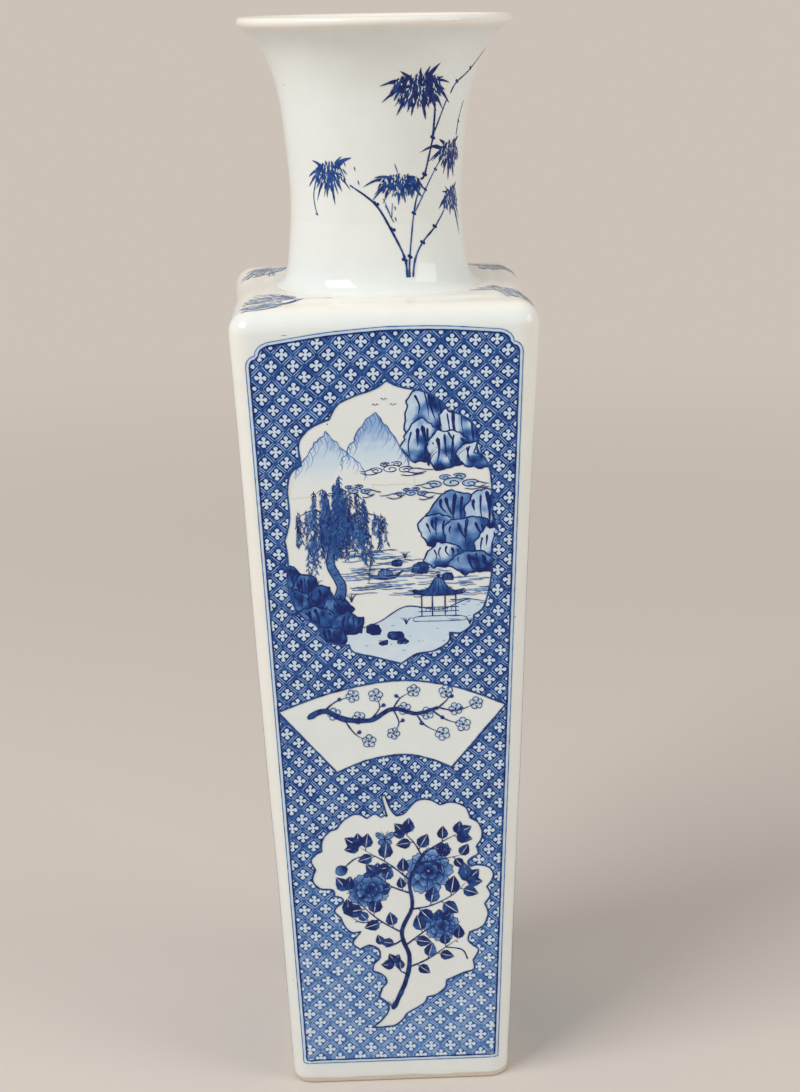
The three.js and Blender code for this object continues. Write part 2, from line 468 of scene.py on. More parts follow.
def neck_radius(neck, z):
    """Outer radius: a spread foot with a fillet, a waist and a mouth that flares to the lip."""
    waist = SHOULDER_HIGH.z + neck.waist_height
    if z < waist:
        drop = (waist - z) / neck.waist_height
        spread = neck.foot_spread / 2 * (drop ** 2 + drop ** 6)
        return neck.waist_radius + spread + neck.foot_fillet * min(drop, 1.0) ** 24
    end = flare_end(neck)
    rise = (z - waist) / (end.y - waist)
    flare = end.x - neck.waist_radius - neck.swell
    return neck.waist_radius + neck.swell * rise ** 2 + flare * rise ** 6


def inner_neck_point(neck, z):
    """The inner surface, one thickness inside the outer one along its normal."""
    step = 0.5 * MM
    slope = (neck_radius(neck, z + step / 2) - neck_radius(neck, z - step / 2)) / step
    length = math.hypot(1, slope)
    return Vector((neck_radius(neck, z) - neck.thickness / length, z + neck.thickness * slope / length))


def spaced(low, high, count):
    return [low + (high - low) * i / count for i in range(count + 1)]


def outer_stations(neck, low, high, count):
    return [Vector((neck_radius(neck, z), z)) for z in spaced(low, high, count)]


def lip_stations(neck):
    centre = lip_centre(neck)
    turns = [-neck.lip_tilt + math.pi * i / LIP_TURNS for i in range(1, LIP_TURNS + 1)]
    return [centre + neck.lip_radius * Vector((math.cos(a), math.sin(a))) for a in turns]


def softened(profile, depth):
    """Draw a profile's two ends in a little, so that a thrown joint shows as a faint ring."""
    soft = [point.copy() for point in profile]
    soft[0].x -= depth
    soft[-1].x -= depth
    return soft


def turned(name, profile):
    """A ring thrown on the wheel: a circle drawn from station to station and closed on itself."""
    start = profile[0]
    deselect_all()
    bpy.ops.mesh.primitive_circle_add(vertices=160, radius=start.x, location=(0, 0, start.y))
    ring = bpy.context.object
    ring.name = name
    settle(ring)
    bpy.ops.object.mode_set(mode="EDIT")
    for last, point in zip(profile, profile[1:]):
        bpy.ops.mesh.extrude_region_move(TRANSFORM_OT_translate={"value": (0, 0, point.y - last.y)})
        share = point.x / last.x
        bpy.ops.transform.resize(value=(share, share, 1), center_override=(0, 0, point.y))
    select_where(ring, "edges", lambda edge: edge.is_boundary)
    bpy.ops.mesh.bridge_edge_loops()
    bpy.ops.mesh.select_all(action="SELECT")
    bpy.ops.mesh.normals_make_consistent(inside=False)
    bpy.ops.object.mode_set(mode="OBJECT")
    return ring


def thrown(point):
    """Where the wheel, the luting and the kiln left a point of the true neck."""
    neck = bpy.context.scene.vase_neck
    x, y, z = point
    loose = smooth(NECK_FOOT_Z, NECK_FOOT_Z + 0.02, z)
    wander = noise.noise_vector(Vector((x, y, z * 0.6)) * 14) * 0.0006 * loose
    rise = clamp((z - NECK_FOOT_Z) / (MOUTH_HIGH.z - NECK_FOOT_Z))
    lip = rise ** 12
    droop = neck.droop * lip * (1 + (0.1 * x - 0.55 * y) / MOUTH_HIGH.x)
    wider = 1 + LIP_WIDENING * lip
    for middle, reach, amount in THROWING_RINGS:
        wider += amount * hump(z - middle, reach)
    lean = neck.lean * (1 - rise ** 3)
    return Vector((x * wider + wander.x - lean, y * wider + wander.y, z - droop))


class VASE_OT_neck(bpy.types.Operator):
    """Throw the neck's lower ring and its trumpet mouth"""
    bl_idname = "vase.neck"
    bl_label = "Neck"

    def execute(self, context):
        neck = context.scene.vase_neck
        joint = MOUTH_LOW.z
        seated = NECK_FOOT_Z - 0.6 * MM
        throat = neck.waist_radius - neck.thickness
        end = flare_end(neck).y
        foot = outer_stations(neck, seated, seated + 0.005, 8)
        waist = outer_stations(neck, seated + 0.005, joint, 12)[1:]
        flare = outer_stations(neck, joint, end, 44)
        inside = [inner_neck_point(neck, z) for z in spaced(joint, end, 30)[1:-1]]
        mouth = flare + lip_stations(neck) + inside[::-1]
        form = turned("neck_form", foot + waist + mouth[1:] + [Vector((throat, seated))])
        lower = turned("neck_lower_ring", softened(foot + waist, GROOVE / 2)
                       + [Vector((throat, joint)), Vector((throat, seated))])
        upper = turned("trumpet_mouth", softened(flare, GROOVE)[:1] + mouth[1:]
                       + [Vector((throat, joint))])
        for piece in (form, lower, upper):
            make_uneven(piece, thrown)
        form.data.shade_smooth()
        surfaces["neck"] = Surface(form)
        bpy.data.objects.remove(form)
        for piece, node in ((lower, "neck_lower"), (upper, "neck_mouth")):
            activate(piece)
            bpy.ops.object.shade_smooth_by_angle(angle=math.radians(40))
            piece.data.materials.append(glazes["white"])
            finish_piece(piece, "white_porcelain", node)
        return {"FINISHED"}


class VASE_OT_inside(bpy.types.Operator):
    """Give the base and the pressed seams their bare clay"""
    bl_idname = "vase.inside"
    bl_label = "Base and inner seams"

    def execute(self, context):
        for name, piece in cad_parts.items():
            if name == "base" or name.endswith("_seam"):
                for slot in piece.material_slots:
                    slot.material = glazes["bare"]
        return {"FINISHED"}


# Node trees

def feed(tree, socket, value):
    if isinstance(value, bpy.types.NodeSocket):
        tree.links.new(value, socket)
    else:
        socket.default_value = value


def node(tree, kind, inputs=None, **settings):
    made = tree.nodes.new(kind)
    for name, value in settings.items():
        setattr(made, name, value)
    for name, value in (inputs or {}).items():
        feed(tree, made.inputs[name], value)
    return made


def maths(tree, operation, *values):
    made = node(tree, "ShaderNodeMath", operation=operation)
    for socket, value in zip(made.inputs, values):
        feed(tree, socket, value)
    return made.outputs[0]


def vector_maths(tree, operation, *values):
    made = node(tree, "ShaderNodeVectorMath", operation=operation)
    for socket, value in zip(made.inputs, values):
        feed(tree, socket, value)
    return made.outputs["Value" if operation == "LENGTH" else "Vector"]


def blended(tree, share, first, second, blend="MIX"):
    made = node(tree, "ShaderNodeMix", data_type="RGBA", blend_type=blend)
    feed(tree, made.inputs[0], share)
    feed(tree, made.inputs[6], first)
    feed(tree, made.inputs[7], second)
    return made.outputs[2]


def value_between(tree, share, first, second):
    made = node(tree, "ShaderNodeMix", data_type="FLOAT")
    feed(tree, made.inputs[0], share)
    feed(tree, made.inputs[2], first)
    feed(tree, made.inputs[3], second)
    return made.outputs[0]


def below(tree, value, edge, soft):
    """1 where the value is under the edge, 0 above it, with a soft step."""
    made = node(tree, "ShaderNodeMapRange", interpolation_type="SMOOTHSTEP")
    feed(tree, made.inputs["Value"], value)
    feed(tree, made.inputs["From Min"], maths(tree, "ADD", edge, soft))
    feed(tree, made.inputs["From Max"], maths(tree, "SUBTRACT", edge, soft))
    return made.outputs["Result"]


def above(tree, value, edge, soft):
    """1 where the value is over the edge, 0 below it, with a soft step."""
    return maths(tree, "SUBTRACT", 1.0, below(tree, value, edge, soft))


def noise_at(tree, vector, scale, detail=2.0, output="Fac"):
    made = node(tree, "ShaderNodeTexNoise", {"Vector": vector, "Scale": scale, "Detail": detail})
    return made.outputs[output]


def node_group(name, inputs, outputs):
    """A shader node group with named inputs and outputs, each given as name and kind."""
    tree = bpy.data.node_groups.new(name, "ShaderNodeTree")
    kinds = {"colour": "NodeSocketColor", "value": "NodeSocketFloat", "vector": "NodeSocketVector"}
    for sockets, way in ((inputs, "INPUT"), (outputs, "OUTPUT")):
        for label, kind in sockets:
            tree.interface.new_socket(name=label, in_out=way, socket_type=kinds[kind])
    return tree, tree.nodes.new("NodeGroupInput"), tree.nodes.new("NodeGroupOutput")


def placed_group(tree, name, inputs=None):
    made = tree.nodes.new("ShaderNodeGroup")
    made.node_tree = bpy.data.node_groups[name]
    for label, value in (inputs or {}).items():
        feed(tree, made.inputs[label], value)
    return made


def thin_glaze_and_lit_edges(tree, place):
    """1 where the glaze runs thin and warm and where a painted highlight brightens the edges that catch the
    light: upright edges, the shoulder's edge and the lip. The neck counts in part."""
    crest, rim = SHOULDER_HIGH.z, MOUTH_HIGH.z
    split = node(tree, "ShaderNodeSeparateXYZ", {"Vector": place})
    height = split.outputs["Z"]
    level = node(tree, "ShaderNodeCombineXYZ", {"X": split.outputs["X"], "Y": split.outputs["Y"]})
    away = vector_maths(tree, "LENGTH", level.outputs["Vector"])
    half = maths(tree, "MULTIPLY_ADD", height, taper(), half_width(0))
    edges = above(tree, maths(tree, "DIVIDE", away, half), 1.335, 0.035)
    shoulder = maths(tree, "MULTIPLY", above(tree, height, crest - 0.0055, 0.003),
                     below(tree, height, crest + 0.001, 0.003))
    neck = maths(tree, "MULTIPLY", above(tree, height, crest + 0.012, 0.01), 0.4)
    lip = above(tree, height, rim - 0.0082, 0.0012)
    upper = maths(tree, "MAXIMUM", maths(tree, "MAXIMUM", shoulder, neck), lip)
    return maths(tree, "MAXIMUM", edges, upper)


def porcelain_group():
    """Glazed porcelain: clouds of warmer white, a warm painted highlight on the edges, iron specks and a
    slow swell of the glaze.
    """
    tree, given, result = node_group(
        "porcelain", [("Glaze", "colour"), ("Warm", "colour"), ("Iron", "colour")],
        [("Color", "colour"), ("Height", "value")])
    place = node(tree, "ShaderNodeTexCoord").outputs["Object"]
    clouds = noise_at(tree, place, 5.5, 3.0)
    # Warmer and brighter on the upright edges, the shoulder's edge and the lip: partly thin glaze, partly
    # painted highlight
    warm = maths(tree, "MAXIMUM", maths(tree, "MULTIPLY", clouds, 0.4), thin_glaze_and_lit_edges(tree, place))
    colour = blended(tree, warm, given.outputs["Glaze"], given.outputs["Warm"])
    grey = maths(tree, "MULTIPLY_ADD", noise_at(tree, place, 90, 3.0), 0.07, 0.965)
    colour = blended(tree, 1.0, colour, grey, "MULTIPLY")
    cells = node(tree, "ShaderNodeTexVoronoi", {"Vector": place, "Scale": 170.0})
    near = below(tree, cells.outputs["Distance"], 0.07, 0.03)
    rare = maths(tree, "GREATER_THAN", node(
        tree, "ShaderNodeSeparateColor", {"Color": cells.outputs["Color"]}).outputs[0], 0.984)
    colour = blended(tree, maths(tree, "MULTIPLY", near, rare), colour, given.outputs["Iron"])
    feed(tree, result.inputs["Color"], colour)
    swell = noise_at(tree, place, 34, 1.0)
    fine = noise_at(tree, place, 260, 2.0)
    feed(tree, result.inputs["Height"], maths(tree, "MULTIPLY_ADD", fine, 0.03, swell))


# What cobalt lets through: the ink from 0 to 1, and the share of red, green and blue
COBALT_STEPS = (
    (0, (1, 1, 1)), (0.12, (0.76, 0.88, 1.04)), (0.3, (0.36, 0.53, 0.87)),
    (0.5, (0.115, 0.26, 0.61)), (0.75, (0.018, 0.098, 0.37)), (1, (0, 0.014, 0.15)),
)


def cobalt_group():
    """Cobalt under the glaze: what it lets through of the porcelain, for the ink at each point."""
    tree, given, result = node_group(
        "underglaze_cobalt", [("Porcelain", "colour"), ("Ink", "value")], [("Color", "colour")])
    place = node(tree, "ShaderNodeTexCoord").outputs["Object"]
    pooled = maths(tree, "SUBTRACT", noise_at(tree, place, 420, 3.0), 0.5)
    cloudy = maths(tree, "SUBTRACT", noise_at(tree, place, 130, 2.0), 0.5)
    shift = maths(tree, "MULTIPLY_ADD", cloudy, 0.34, maths(tree, "MULTIPLY", pooled, 0.42))
    ink = maths(tree, "MULTIPLY", given.outputs["Ink"], maths(tree, "ADD", shift, 1.0))
    ramp = node(tree, "ShaderNodeValToRGB", {"Fac": ink})
    ramp.color_ramp.interpolation = "EASE"
    while len(ramp.color_ramp.elements) < len(COBALT_STEPS):
        ramp.color_ramp.elements.new(0.5)
    for element, (position, colour) in zip(ramp.color_ramp.elements, COBALT_STEPS):
        element.position = position
        element.color = (*colour, 1)
    colour = blended(tree, 1.0, given.outputs["Porcelain"], ramp.outputs["Color"], "MULTIPLY")
    feed(tree, result.inputs["Color"], colour)


def diamond_group():
    """The ground: bands that cross in diamonds, each with a four-petalled flower, drawn by hand."""
    tree, given, result = node_group("diamond_flowers", [("Cells", "vector")], [("Ink", "value")])
    true_cells = cells = given.outputs["Cells"]
    for scale, amount in ((0.33, 0.34), (1.6, 0.1)):
        drift = noise_at(tree, true_cells, scale, 1.0, "Color")
        drift = vector_maths(tree, "SUBTRACT", drift, (0.5, 0.5, 0.5))
        cells = vector_maths(tree, "ADD", cells, vector_maths(tree, "MULTIPLY", drift, (amount, amount, 0)))
    split = node(tree, "ShaderNodeSeparateXYZ", {"Vector": cells})
    across, up = split.outputs["X"], split.outputs["Y"]
    rising_at, falling_at = maths(tree, "ADD", across, up), maths(tree, "SUBTRACT", across, up)
    rising = maths(tree, "SUBTRACT", maths(tree, "FRACT", rising_at), 0.5)
    falling = maths(tree, "SUBTRACT", maths(tree, "FRACT", falling_at), 0.5)
    near_rising = maths(tree, "SUBTRACT", 0.5, maths(tree, "ABSOLUTE", rising))
    near_falling = maths(tree, "SUBTRACT", 0.5, maths(tree, "ABSOLUTE", falling))
    near = maths(tree, "MINIMUM", near_rising, near_falling)
    far = maths(tree, "MAXIMUM", near_rising, near_falling)
    side = maths(tree, "ABSOLUTE", maths(tree, "MULTIPLY", maths(tree, "ADD", rising, falling), 0.5))
    rise = maths(tree, "ABSOLUTE", maths(tree, "MULTIPLY", maths(tree, "SUBTRACT", rising, falling), 0.5))
    away = maths(tree, "ADD", side, rise)
    diamond = node(tree, "ShaderNodeCombineXYZ", {
        "X": maths(tree, "FLOOR", rising_at), "Y": maths(tree, "FLOOR", falling_at)}).outputs["Vector"]
    by_diamond = vector_maths(tree, "MULTIPLY_ADD", diamond, (7.7, 5.3, 0), true_cells)

    def length_of(first, second):
        squares = maths(tree, "MULTIPLY_ADD", first, first, maths(tree, "MULTIPLY", second, second))
        return maths(tree, "SQRT", squares)

    def near_to(place, width, soft):
        return below(tree, maths(tree, "ABSOLUTE", maths(tree, "SUBTRACT", near, place)), width, soft)

    petal = maths(tree, "MINIMUM",
                  length_of(maths(tree, "SUBTRACT", side, 0.165), rise),
                  length_of(side, maths(tree, "SUBTRACT", rise, 0.165)))
    petal_edge = maths(tree, "MULTIPLY_ADD", noise_at(tree, by_diamond, 2.6, 2.0), 0.07, 0.068)
    flower = maths(tree, "MAXIMUM", below(tree, petal, petal_edge, 0.016),
                   below(tree, length_of(side, rise), 0.085, 0.014))
    diagonal = maths(tree, "ABSOLUTE", maths(tree, "SUBTRACT", side, rise))
    wedge_side = maths(tree, "MULTIPLY_ADD", away, 0.22, 0.004)
    wedge = maths(tree, "MULTIPLY", below(tree, diagonal, wedge_side, 0.012),
                  above(tree, away, 0.115, 0.012))
    ink = value_between(tree, flower, 0.86, 0.12)
    ink = value_between(tree, wedge, ink, 1.1)
    whole = maths(tree, "MULTIPLY", below(tree, noise_at(tree, by_diamond, 1.1, 1.0), 0.56, 0.05),
                  above(tree, far, 0.13, 0.03))
    band_ink = value_between(tree, maths(tree, "MULTIPLY", near_to(0.07, 0.026, 0.012), whole), 0.68, 0.28)
    band_ink = value_between(tree, below(tree, near, 0.02, 0.014), band_ink, 0.84)
    ink = value_between(tree, below(tree, near, 0.122, 0.01), ink, band_ink)
    ink = value_between(tree, near_to(0.128, 0.022, 0.012), ink, 1.0)
    tone = noise_at(tree, true_cells, 0.8, 2.0)
    ink = maths(tree, "MULTIPLY", ink, maths(tree, "MULTIPLY_ADD", tone, 0.5, 0.78))
    thinner = maths(tree, "MULTIPLY_ADD", above(tree, up, 10, 9), 0.34, 0.66)
    feed(tree, result.inputs["Ink"], maths(tree, "MULTIPLY", ink, thinner))


def new_material(name, roughness):
    """A material with its node tree and its shader."""
    material = bpy.data.materials.new(name)
    material.use_nodes = True
    tree = material.node_tree
    shader = tree.nodes["Principled BSDF"]
    shader.inputs["Roughness"].default_value = roughness
    return material, tree, shader


def add_bump(tree, shader, strength, distance, height):
    bump = node(tree, "ShaderNodeBump", {"Strength": strength, "Distance": distance, "Height": height})
    feed(tree, shader.inputs["Normal"], bump.outputs["Normal"])


GLAZE_ROUGHNESS, CLAY_ROUGHNESS = 0.09, 0.8


def glaze_material(name, colours, ink=None, bare_foot=False):
    """Glossy porcelain. ink builds the ink's output in the tree; bare_foot leaves the foot unglazed."""
    material, tree, shader = new_material(name, GLAZE_ROUGHNESS)
    shader.inputs["IOR"].default_value = 1.52
    shader.inputs["Specular IOR Level"].default_value = 0.3
    porcelain = placed_group(tree, "porcelain", {
        "Glaze": (*colours.glaze, 1), "Warm": (*colours.warm_glaze_and_edge_light, 1), "Iron": (*colours.iron, 1)})
    colour = porcelain.outputs["Color"]
    if ink:
        painted = placed_group(tree, "underglaze_cobalt", {"Porcelain": colour, "Ink": ink(tree)})
        colour = painted.outputs["Color"]
    if bare_foot:
        place = node(tree, "ShaderNodeTexCoord").outputs["Object"]
        height = node(tree, "ShaderNodeSeparateXYZ", {"Vector": place}).outputs["Z"]
        edge = maths(tree, "MULTIPLY_ADD", noise_at(tree, place, 60), 0.0022, 0.0014)
        bare = below(tree, height, edge, 0.0003)
        rim = below(tree, height, maths(tree, "ADD", edge, 0.0009), 0.0007)
        grain = maths(tree, "MULTIPLY_ADD", noise_at(tree, place, 700), 0.25, 0.85)
        clay = blended(tree, 1.0, (*colours.bare_clay, 1), grain, "MULTIPLY")
        colour = blended(tree, maths(tree, "MULTIPLY", rim, 0.55), colour, (*colours.toasted, 1))
        colour = blended(tree, bare, colour, clay)
        feed(tree, shader.inputs["Roughness"], value_between(tree, bare, GLAZE_ROUGHNESS, CLAY_ROUGHNESS))
    feed(tree, shader.inputs["Base Color"], colour)
    add_bump(tree, shader, 0.5, 0.00035, porcelain.outputs["Height"])
    return material


def bare_material(colours):
    material, tree, shader = new_material("bare_porcelain", 0.85)
    place = node(tree, "ShaderNodeTexCoord").outputs["Object"]
    darker = tuple(channel * 0.82 for channel in colours.bare_clay)
    colour = blended(tree, noise_at(tree, place, 45, 4.0), (*colours.bare_clay, 1), (*darker, 1))
    grain = maths(tree, "MULTIPLY_ADD", noise_at(tree, place, 900), 0.2, 0.9)
    feed(tree, shader.inputs["Base Color"], blended(tree, 1.0, colour, grain, "MULTIPLY"))
    add_bump(tree, shader, 0.6, 0.0003, noise_at(tree, place, 500, 4.0))
    return material


def brushed_ink(tree):
    return node(tree, "ShaderNodeAttribute", attribute_name="cobalt").outputs["Fac"]


def ground_ink(tree):
    cells = node(tree, "ShaderNodeUVMap", uv_map="cells").outputs["UV"]
    return placed_group(tree, "diamond_flowers", {"Cells": cells}).outputs["Ink"]


class VASE_OT_glazes(bpy.types.Operator):
    """Mix the glaze, the cobalt and the bare clay"""
    bl_idname = "vase.glazes"
    bl_label = "Glazes"

    def execute(self, context):
        colours = context.scene.vase_colours
        porcelain_group()
        cobalt_group()
        diamond_group()
        glazes["white"] = glaze_material("white_glaze", colours)
        glazes["wall"] = glaze_material("wall_glaze", colours, bare_foot=True)
        glazes["brushwork"] = glaze_material("brushwork", colours, brushed_ink)
        glazes["ground"] = glaze_material("diamond_ground", colours, ground_ink)
        glazes["bare"] = bare_material(colours)
        return {"FINISHED"}


# Outlines of the painted panels, in millimetres across a wall and up from the foot

# Each lobe of the large panel runs from one cusp to the next
GARDEN_LOBES = (
    ((0.6, 403.7), (6.5, 400.6), (19.3, 397.6), (27.5, 392.7), (31.4, 387.4)),
    ((31.4, 387.4), (37.6, 385.3), (44.1, 379.9), (46.3, 373.1), (43.8, 365.5)),
    ((43.8, 365.5), (48.6, 363.4), (52.1, 355.6), (53.2, 340), (53.3, 332.1), (56.4, 323.1)),
    ((56.4, 323.1), (53, 317.7), (52.5, 300), (48.5, 283.1), (43, 278.2)),
    ((43, 278.2), (42.2, 273.1), (36.4, 268.7), (30.5, 269.1)),
    ((30.5, 269.1), (30.1, 264.2), (22.8, 259.3), (13.1, 257.5), (4.8, 252.4)),
    ((4.8, 252.4), (-7.2, 256.1), (-19.6, 259.6), (-21.9, 263.8)),
    ((-21.9, 263.8), (-28.1, 264), (-34.7, 267.3), (-38.3, 275.6)),
    ((-38.3, 275.6), (-47.6, 282), (-52.3, 296.3), (-51.9, 311.3), (-53.2, 321.3)),
    ((-53.2, 321.3), (-50.3, 333), (-50.7, 348.7), (-48.5, 357.4), (-43.2, 361.1)),
    ((-43.2, 361.1), (-44.2, 372.7), (-38.3, 380.2), (-28.5, 384.7)),
    ((-28.5, 384.7), (-24.1, 392.1), (-15.7, 396.2), (-5.5, 399.7), (0.6, 403.7)),
)
GARDEN_MIDDLE = (0, 328)

FAN_SIDES = (
    ((-60.4, 227.2), (-31, 237.5), (3, 243), (33, 238.5), (59.7, 227.8)),
    ((59.7, 227.8), (30.7, 192.4)),
    ((30.7, 192.4), (18, 198), (4.3, 200.6), (-14, 198), (-30.5, 191.3)),
    ((-30.5, 191.3), (-60.4, 227.2)),
)
FAN_MIDDLE = (0, 218)

# Each scallop of the leaf panel, from its stem clockwise
LEAF_LOBES = (
    ((-4.6, 164.6), (-7.2, 176.6), (-5.4, 177.4)),
    ((-5.4, 177.4), (-2.4, 168.6), (0.4, 165)),
    ((0.4, 165), (4.2, 165.8), (7.1, 168.9)),
    ((7.1, 168.9), (11.5, 173.4), (18, 174), (24, 170.6)),
    ((24, 170.6), (30, 172), (37.5, 169), (40.2, 162.4)),
    ((40.2, 162.4), (45, 158.6), (46.6, 151), (43.4, 145)),
    ((43.4, 145), (44.4, 140.6), (40.6, 138.2), (38.6, 135.4), (40.4, 133)),
    ((40.4, 133), (44, 134), (50.4, 132), (52.6, 126.6), (49, 120.2)),
    ((49, 120.2), (51, 115.4), (47.8, 110.1)),
    ((47.8, 110.1), (49.6, 104), (46.8, 96.4), (39.4, 92.8)),
    ((39.4, 92.8), (38.4, 88), (40.6, 85), (44.2, 81.6), (41.1, 75.2)),
    ((41.1, 75.2), (41.6, 69.6), (35.4, 67.4), (26.2, 63.2)),
    ((26.2, 63.2), (25.4, 58.6), (20.4, 54.4), (15.4, 53.1)),
    ((15.4, 53.1), (13.8, 49.4), (7.2, 45.2), (3.8, 43)),
    ((3.8, 43), (1.4, 39.2), (-3.6, 35.6), (-15.3, 34.7)),
    ((-15.3, 34.7), (-9.5, 40.2), (-6.2, 45.8), (-7, 50.4), (-11.2, 54)),
    ((-11.2, 54), (-9.6, 59.6), (-7, 63.2), (-8.7, 67.8), (-14.5, 70.6)),
    ((-14.5, 70.6), (-13.7, 75.2), (-10.3, 78.9), (-11.2, 84.4), (-16.1, 86.7), (-21.1, 84.4)),
    ((-21.1, 84.4), (-25, 88.6), (-20.3, 95.4)),
    ((-20.3, 95.4), (-25.3, 94.9), (-29, 98.6), (-31.5, 104.6)),
    ((-31.5, 104.6), (-34.6, 108.3), (-32.6, 111.4), (-29.4, 113.8), (-30.7, 116.7), (-34.2, 117.4)),
    ((-34.2, 117.4), (-35, 121.4), (-41.9, 122.5), (-45.8, 127.6), (-44, 134)),
    ((-44, 134), (-46.2, 139.6), (-43, 143.6), (-40.2, 145)),
    ((-40.2, 145), (-40.2, 150.4), (-37.7, 154.8), (-34.8, 157.4)),
    ((-34.8, 157.4), (-32, 158.2), (-28.8, 162.4), (-23.6, 166), (-19.5, 166.4), (-15.3, 163.9)),
    ((-15.3, 163.9), (-11.2, 166.4), (-7.8, 164.2)),
    ((-7.8, 164.2), (-6, 165.4), (-4.6, 164.6)),
)
LEAF_MIDDLE = (2, 104)

# Heights of the border's foot, of its side's end and of its top, and its tilt near the top
BORDER_FOOT, BORDER_SIDE_END, BORDER_TOP = 13, 414.3, 430.8
BORDER_TILT = 0.036

# Width of the pale band between the border's two lines
BAND = 1.9

# How wide the frame of a side wall is, against that of the front
SIDE_SHARE = 0.925

# Distance between the points of a panel's outline
OUTLINE_STEP = 1.6


def curve_through(points, step):
    """Points along a smooth curve through the given ones, about a step apart."""
    if len(points) < 3:
        (x0, y0), (x1, y1) = points
        count = max(1, round(math.hypot(x1 - x0, y1 - y0) / step))
        return [(x0 + (x1 - x0) * i / count, y0 + (y1 - y0) * i / count) for i in range(count + 1)]
    ends = [points[0], *points, points[-1]]
    curve = []
    for before, start, end, after in zip(ends, ends[1:], ends[2:], ends[3:]):
        count = max(1, round(math.dist(start, end) / step))
        for i in range(count):
            t = i / count
            curve.append(tuple(
                0.5 * (2 * b + (c - a) * t + (2 * a - 5 * b + 4 * c - d) * t * t
                       + (3 * b - a - 3 * c + d) * t ** 3)
                for a, b, c, d in zip(before, start, end, after)))
    return curve + [tuple(points[-1])]


def closed_outline(sides, step):
    """A closed ring of points along sides that meet at cusps."""
    ring = []
    for side in sides:
        ring += curve_through(side, step)[:-1]
    return ring


def quarter(centre, radii):
    """A quarter of an ellipse, anticlockwise from its right end to its top."""
    turns = [math.radians(18 * i) for i in range(6)]
    return [(centre[0] + radii[0] * math.cos(a), centre[1] + radii[1] * math.sin(a)) for a in turns]


def panel_border(inset):
    """The border of a painted wall, anticlockwise: tapered sides and two lobes at each top corner."""
    foot = BORDER_FOOT + inset
    low, high = 54.5 - inset, 68.8 - inset
    side = curve_through(((low, foot), (high, BORDER_SIDE_END)), 5)
    lobes = (quarter((64.3, BORDER_SIDE_END), (4.5 - inset, 5.5 - inset))
             + quarter((55.5, 419.8), (8.8 - inset, 6.8 - inset)))
    crest = curve_through(((55.5, 426.6 - inset), (28, 429.6 - inset), (0, BORDER_TOP - inset)), 4)
    right = side[:-1] + lobes[:-1] + crest
    left = [(-x, y) for x, y in reversed(right[:-1])]
    bottom = curve_through(((-low, foot), (low, foot)), 5)[1:-1]
    return [(x, y + BORDER_TILT * x * smooth(360, 420, y)) for x, y in right + left + bottom]


def wall_border(inset, sideways):
    """The border of a wall. The side walls keep theirs clear of the corners."""
    share = SIDE_SHARE if sideways else 1.0
    return [(share * x, y) for x, y in panel_border(inset)]


def inside(points, ring):
    """Which points lie inside a closed ring."""
    points, ring = np.array(points, float).reshape(-1, 2), np.array(ring, float)
    after = np.roll(ring, -1, axis=0)
    rise = after[:, 1] - ring[:, 1]
    slope = (after[:, 0] - ring[:, 0]) / np.where(rise == 0, 1, rise)
    x, y = points[:, :1], points[:, 1:]
    crosses = (ring[:, 1] > y) != (after[:, 1] > y)
    return (crosses & (x < ring[:, 0] + (y - ring[:, 1]) * slope)).sum(1) % 2 == 1


def nearest_on(ring, point):
    """The point of a closed ring that is nearest to another point."""
    ring, point = np.array(ring, float), np.array(point, float)
    side = np.roll(ring, -1, axis=0) - ring
    share = ((point - ring) * side).sum(1) / np.maximum((side * side).sum(1), 1e-9)
    spots = ring + side * share.clip(0, 1)[:, None]
    return tuple(spots[((spots - point) ** 2).sum(1).argmin()])


def distance_to(ring, points):
    """How far each point is from the nearest corner of a ring."""
    apart = np.array(points, float)[:, None] - np.array(ring, float)[None]
    return np.sqrt((apart ** 2).sum(2)).min(1)


def filled(ring, grain, holes=(), extra=()):
    """Fill a ring but not its holes, with some extra points inside. Returns points, triangles and
    which points lie on an edge."""
    points, edges = [], []
    for loop in (ring, *holes):
        first, count = len(points), len(loop)
        points += loop
        edges += [(first + i, first + (i + 1) % count) for i in range(count)]
    rim = list(points)
    xs, ys = zip(*ring)
    columns = max(1, int((max(xs) - min(xs)) / grain))
    rows = max(1, int((max(ys) - min(ys)) / grain))
    net = [(min(xs) + (i + 0.5 * (j % 2)) * grain, min(ys) + j * grain)
           for j in range(1, rows + 1) for i in range(columns + 1)]
    room = 0.45 * grain
    if extra:
        net = [spot for spot, away in zip(net, distance_to(extra, net)) if away > room]
        room = [0.3 * grain] * len(net) + [0.5] * len(extra)
        net += extra
    keep = inside(net, ring) & (distance_to(rim, net) > room)
    for hole in holes:
        keep &= ~inside(net, hole)
    points += [point for point, kept in zip(net, keep) if kept]
    found = delaunay_2d_cdt([Vector(point) for point in points], edges, [], 0, 1e-4)
    spots = [tuple(spot) for spot in found[0]]
    triangles = [tuple(face) for face in found[2]]
    middles = [tuple(sum(spots[i][axis] for i in face) / 3 for axis in (0, 1)) for face in triangles]
    keep = inside(middles, ring)
    for hole in holes:
        keep &= ~inside(middles, hole)
    triangles = [face for face, kept in zip(triangles, keep) if kept]
    on_edge = [any(source < len(rim) for source in sources) for sources in found[3]]
    return spots, triangles, on_edge


# Brush work

# Layers from the wall outwards
WASH, TONE, BODY, LINE, ACCENT = range(5)
GROUND_LIFT = 0.08
FIRST_LAYER = 0.17
LAYER_STEP = 0.022
ORDER_STEP = 0.0005
ORDERS = 32

# How much a line's width and ink, and a wash's ink, vary by themselves
WIDTH_FLUTTER, INK_FLUTTER, WASH_CLOUD = 0.35, 0.2, 0.35


def drawn(t):
    """A line that starts and ends in a short point."""
    return clamp(min(t / 0.1, (1 - t) / 0.18)) ** 0.5


def even(t):
    return 1.0


def pressed(t):
    """A leaf mark: pointed at both ends and fullest before its middle."""
    return math.sin(math.pi * t ** 0.7)


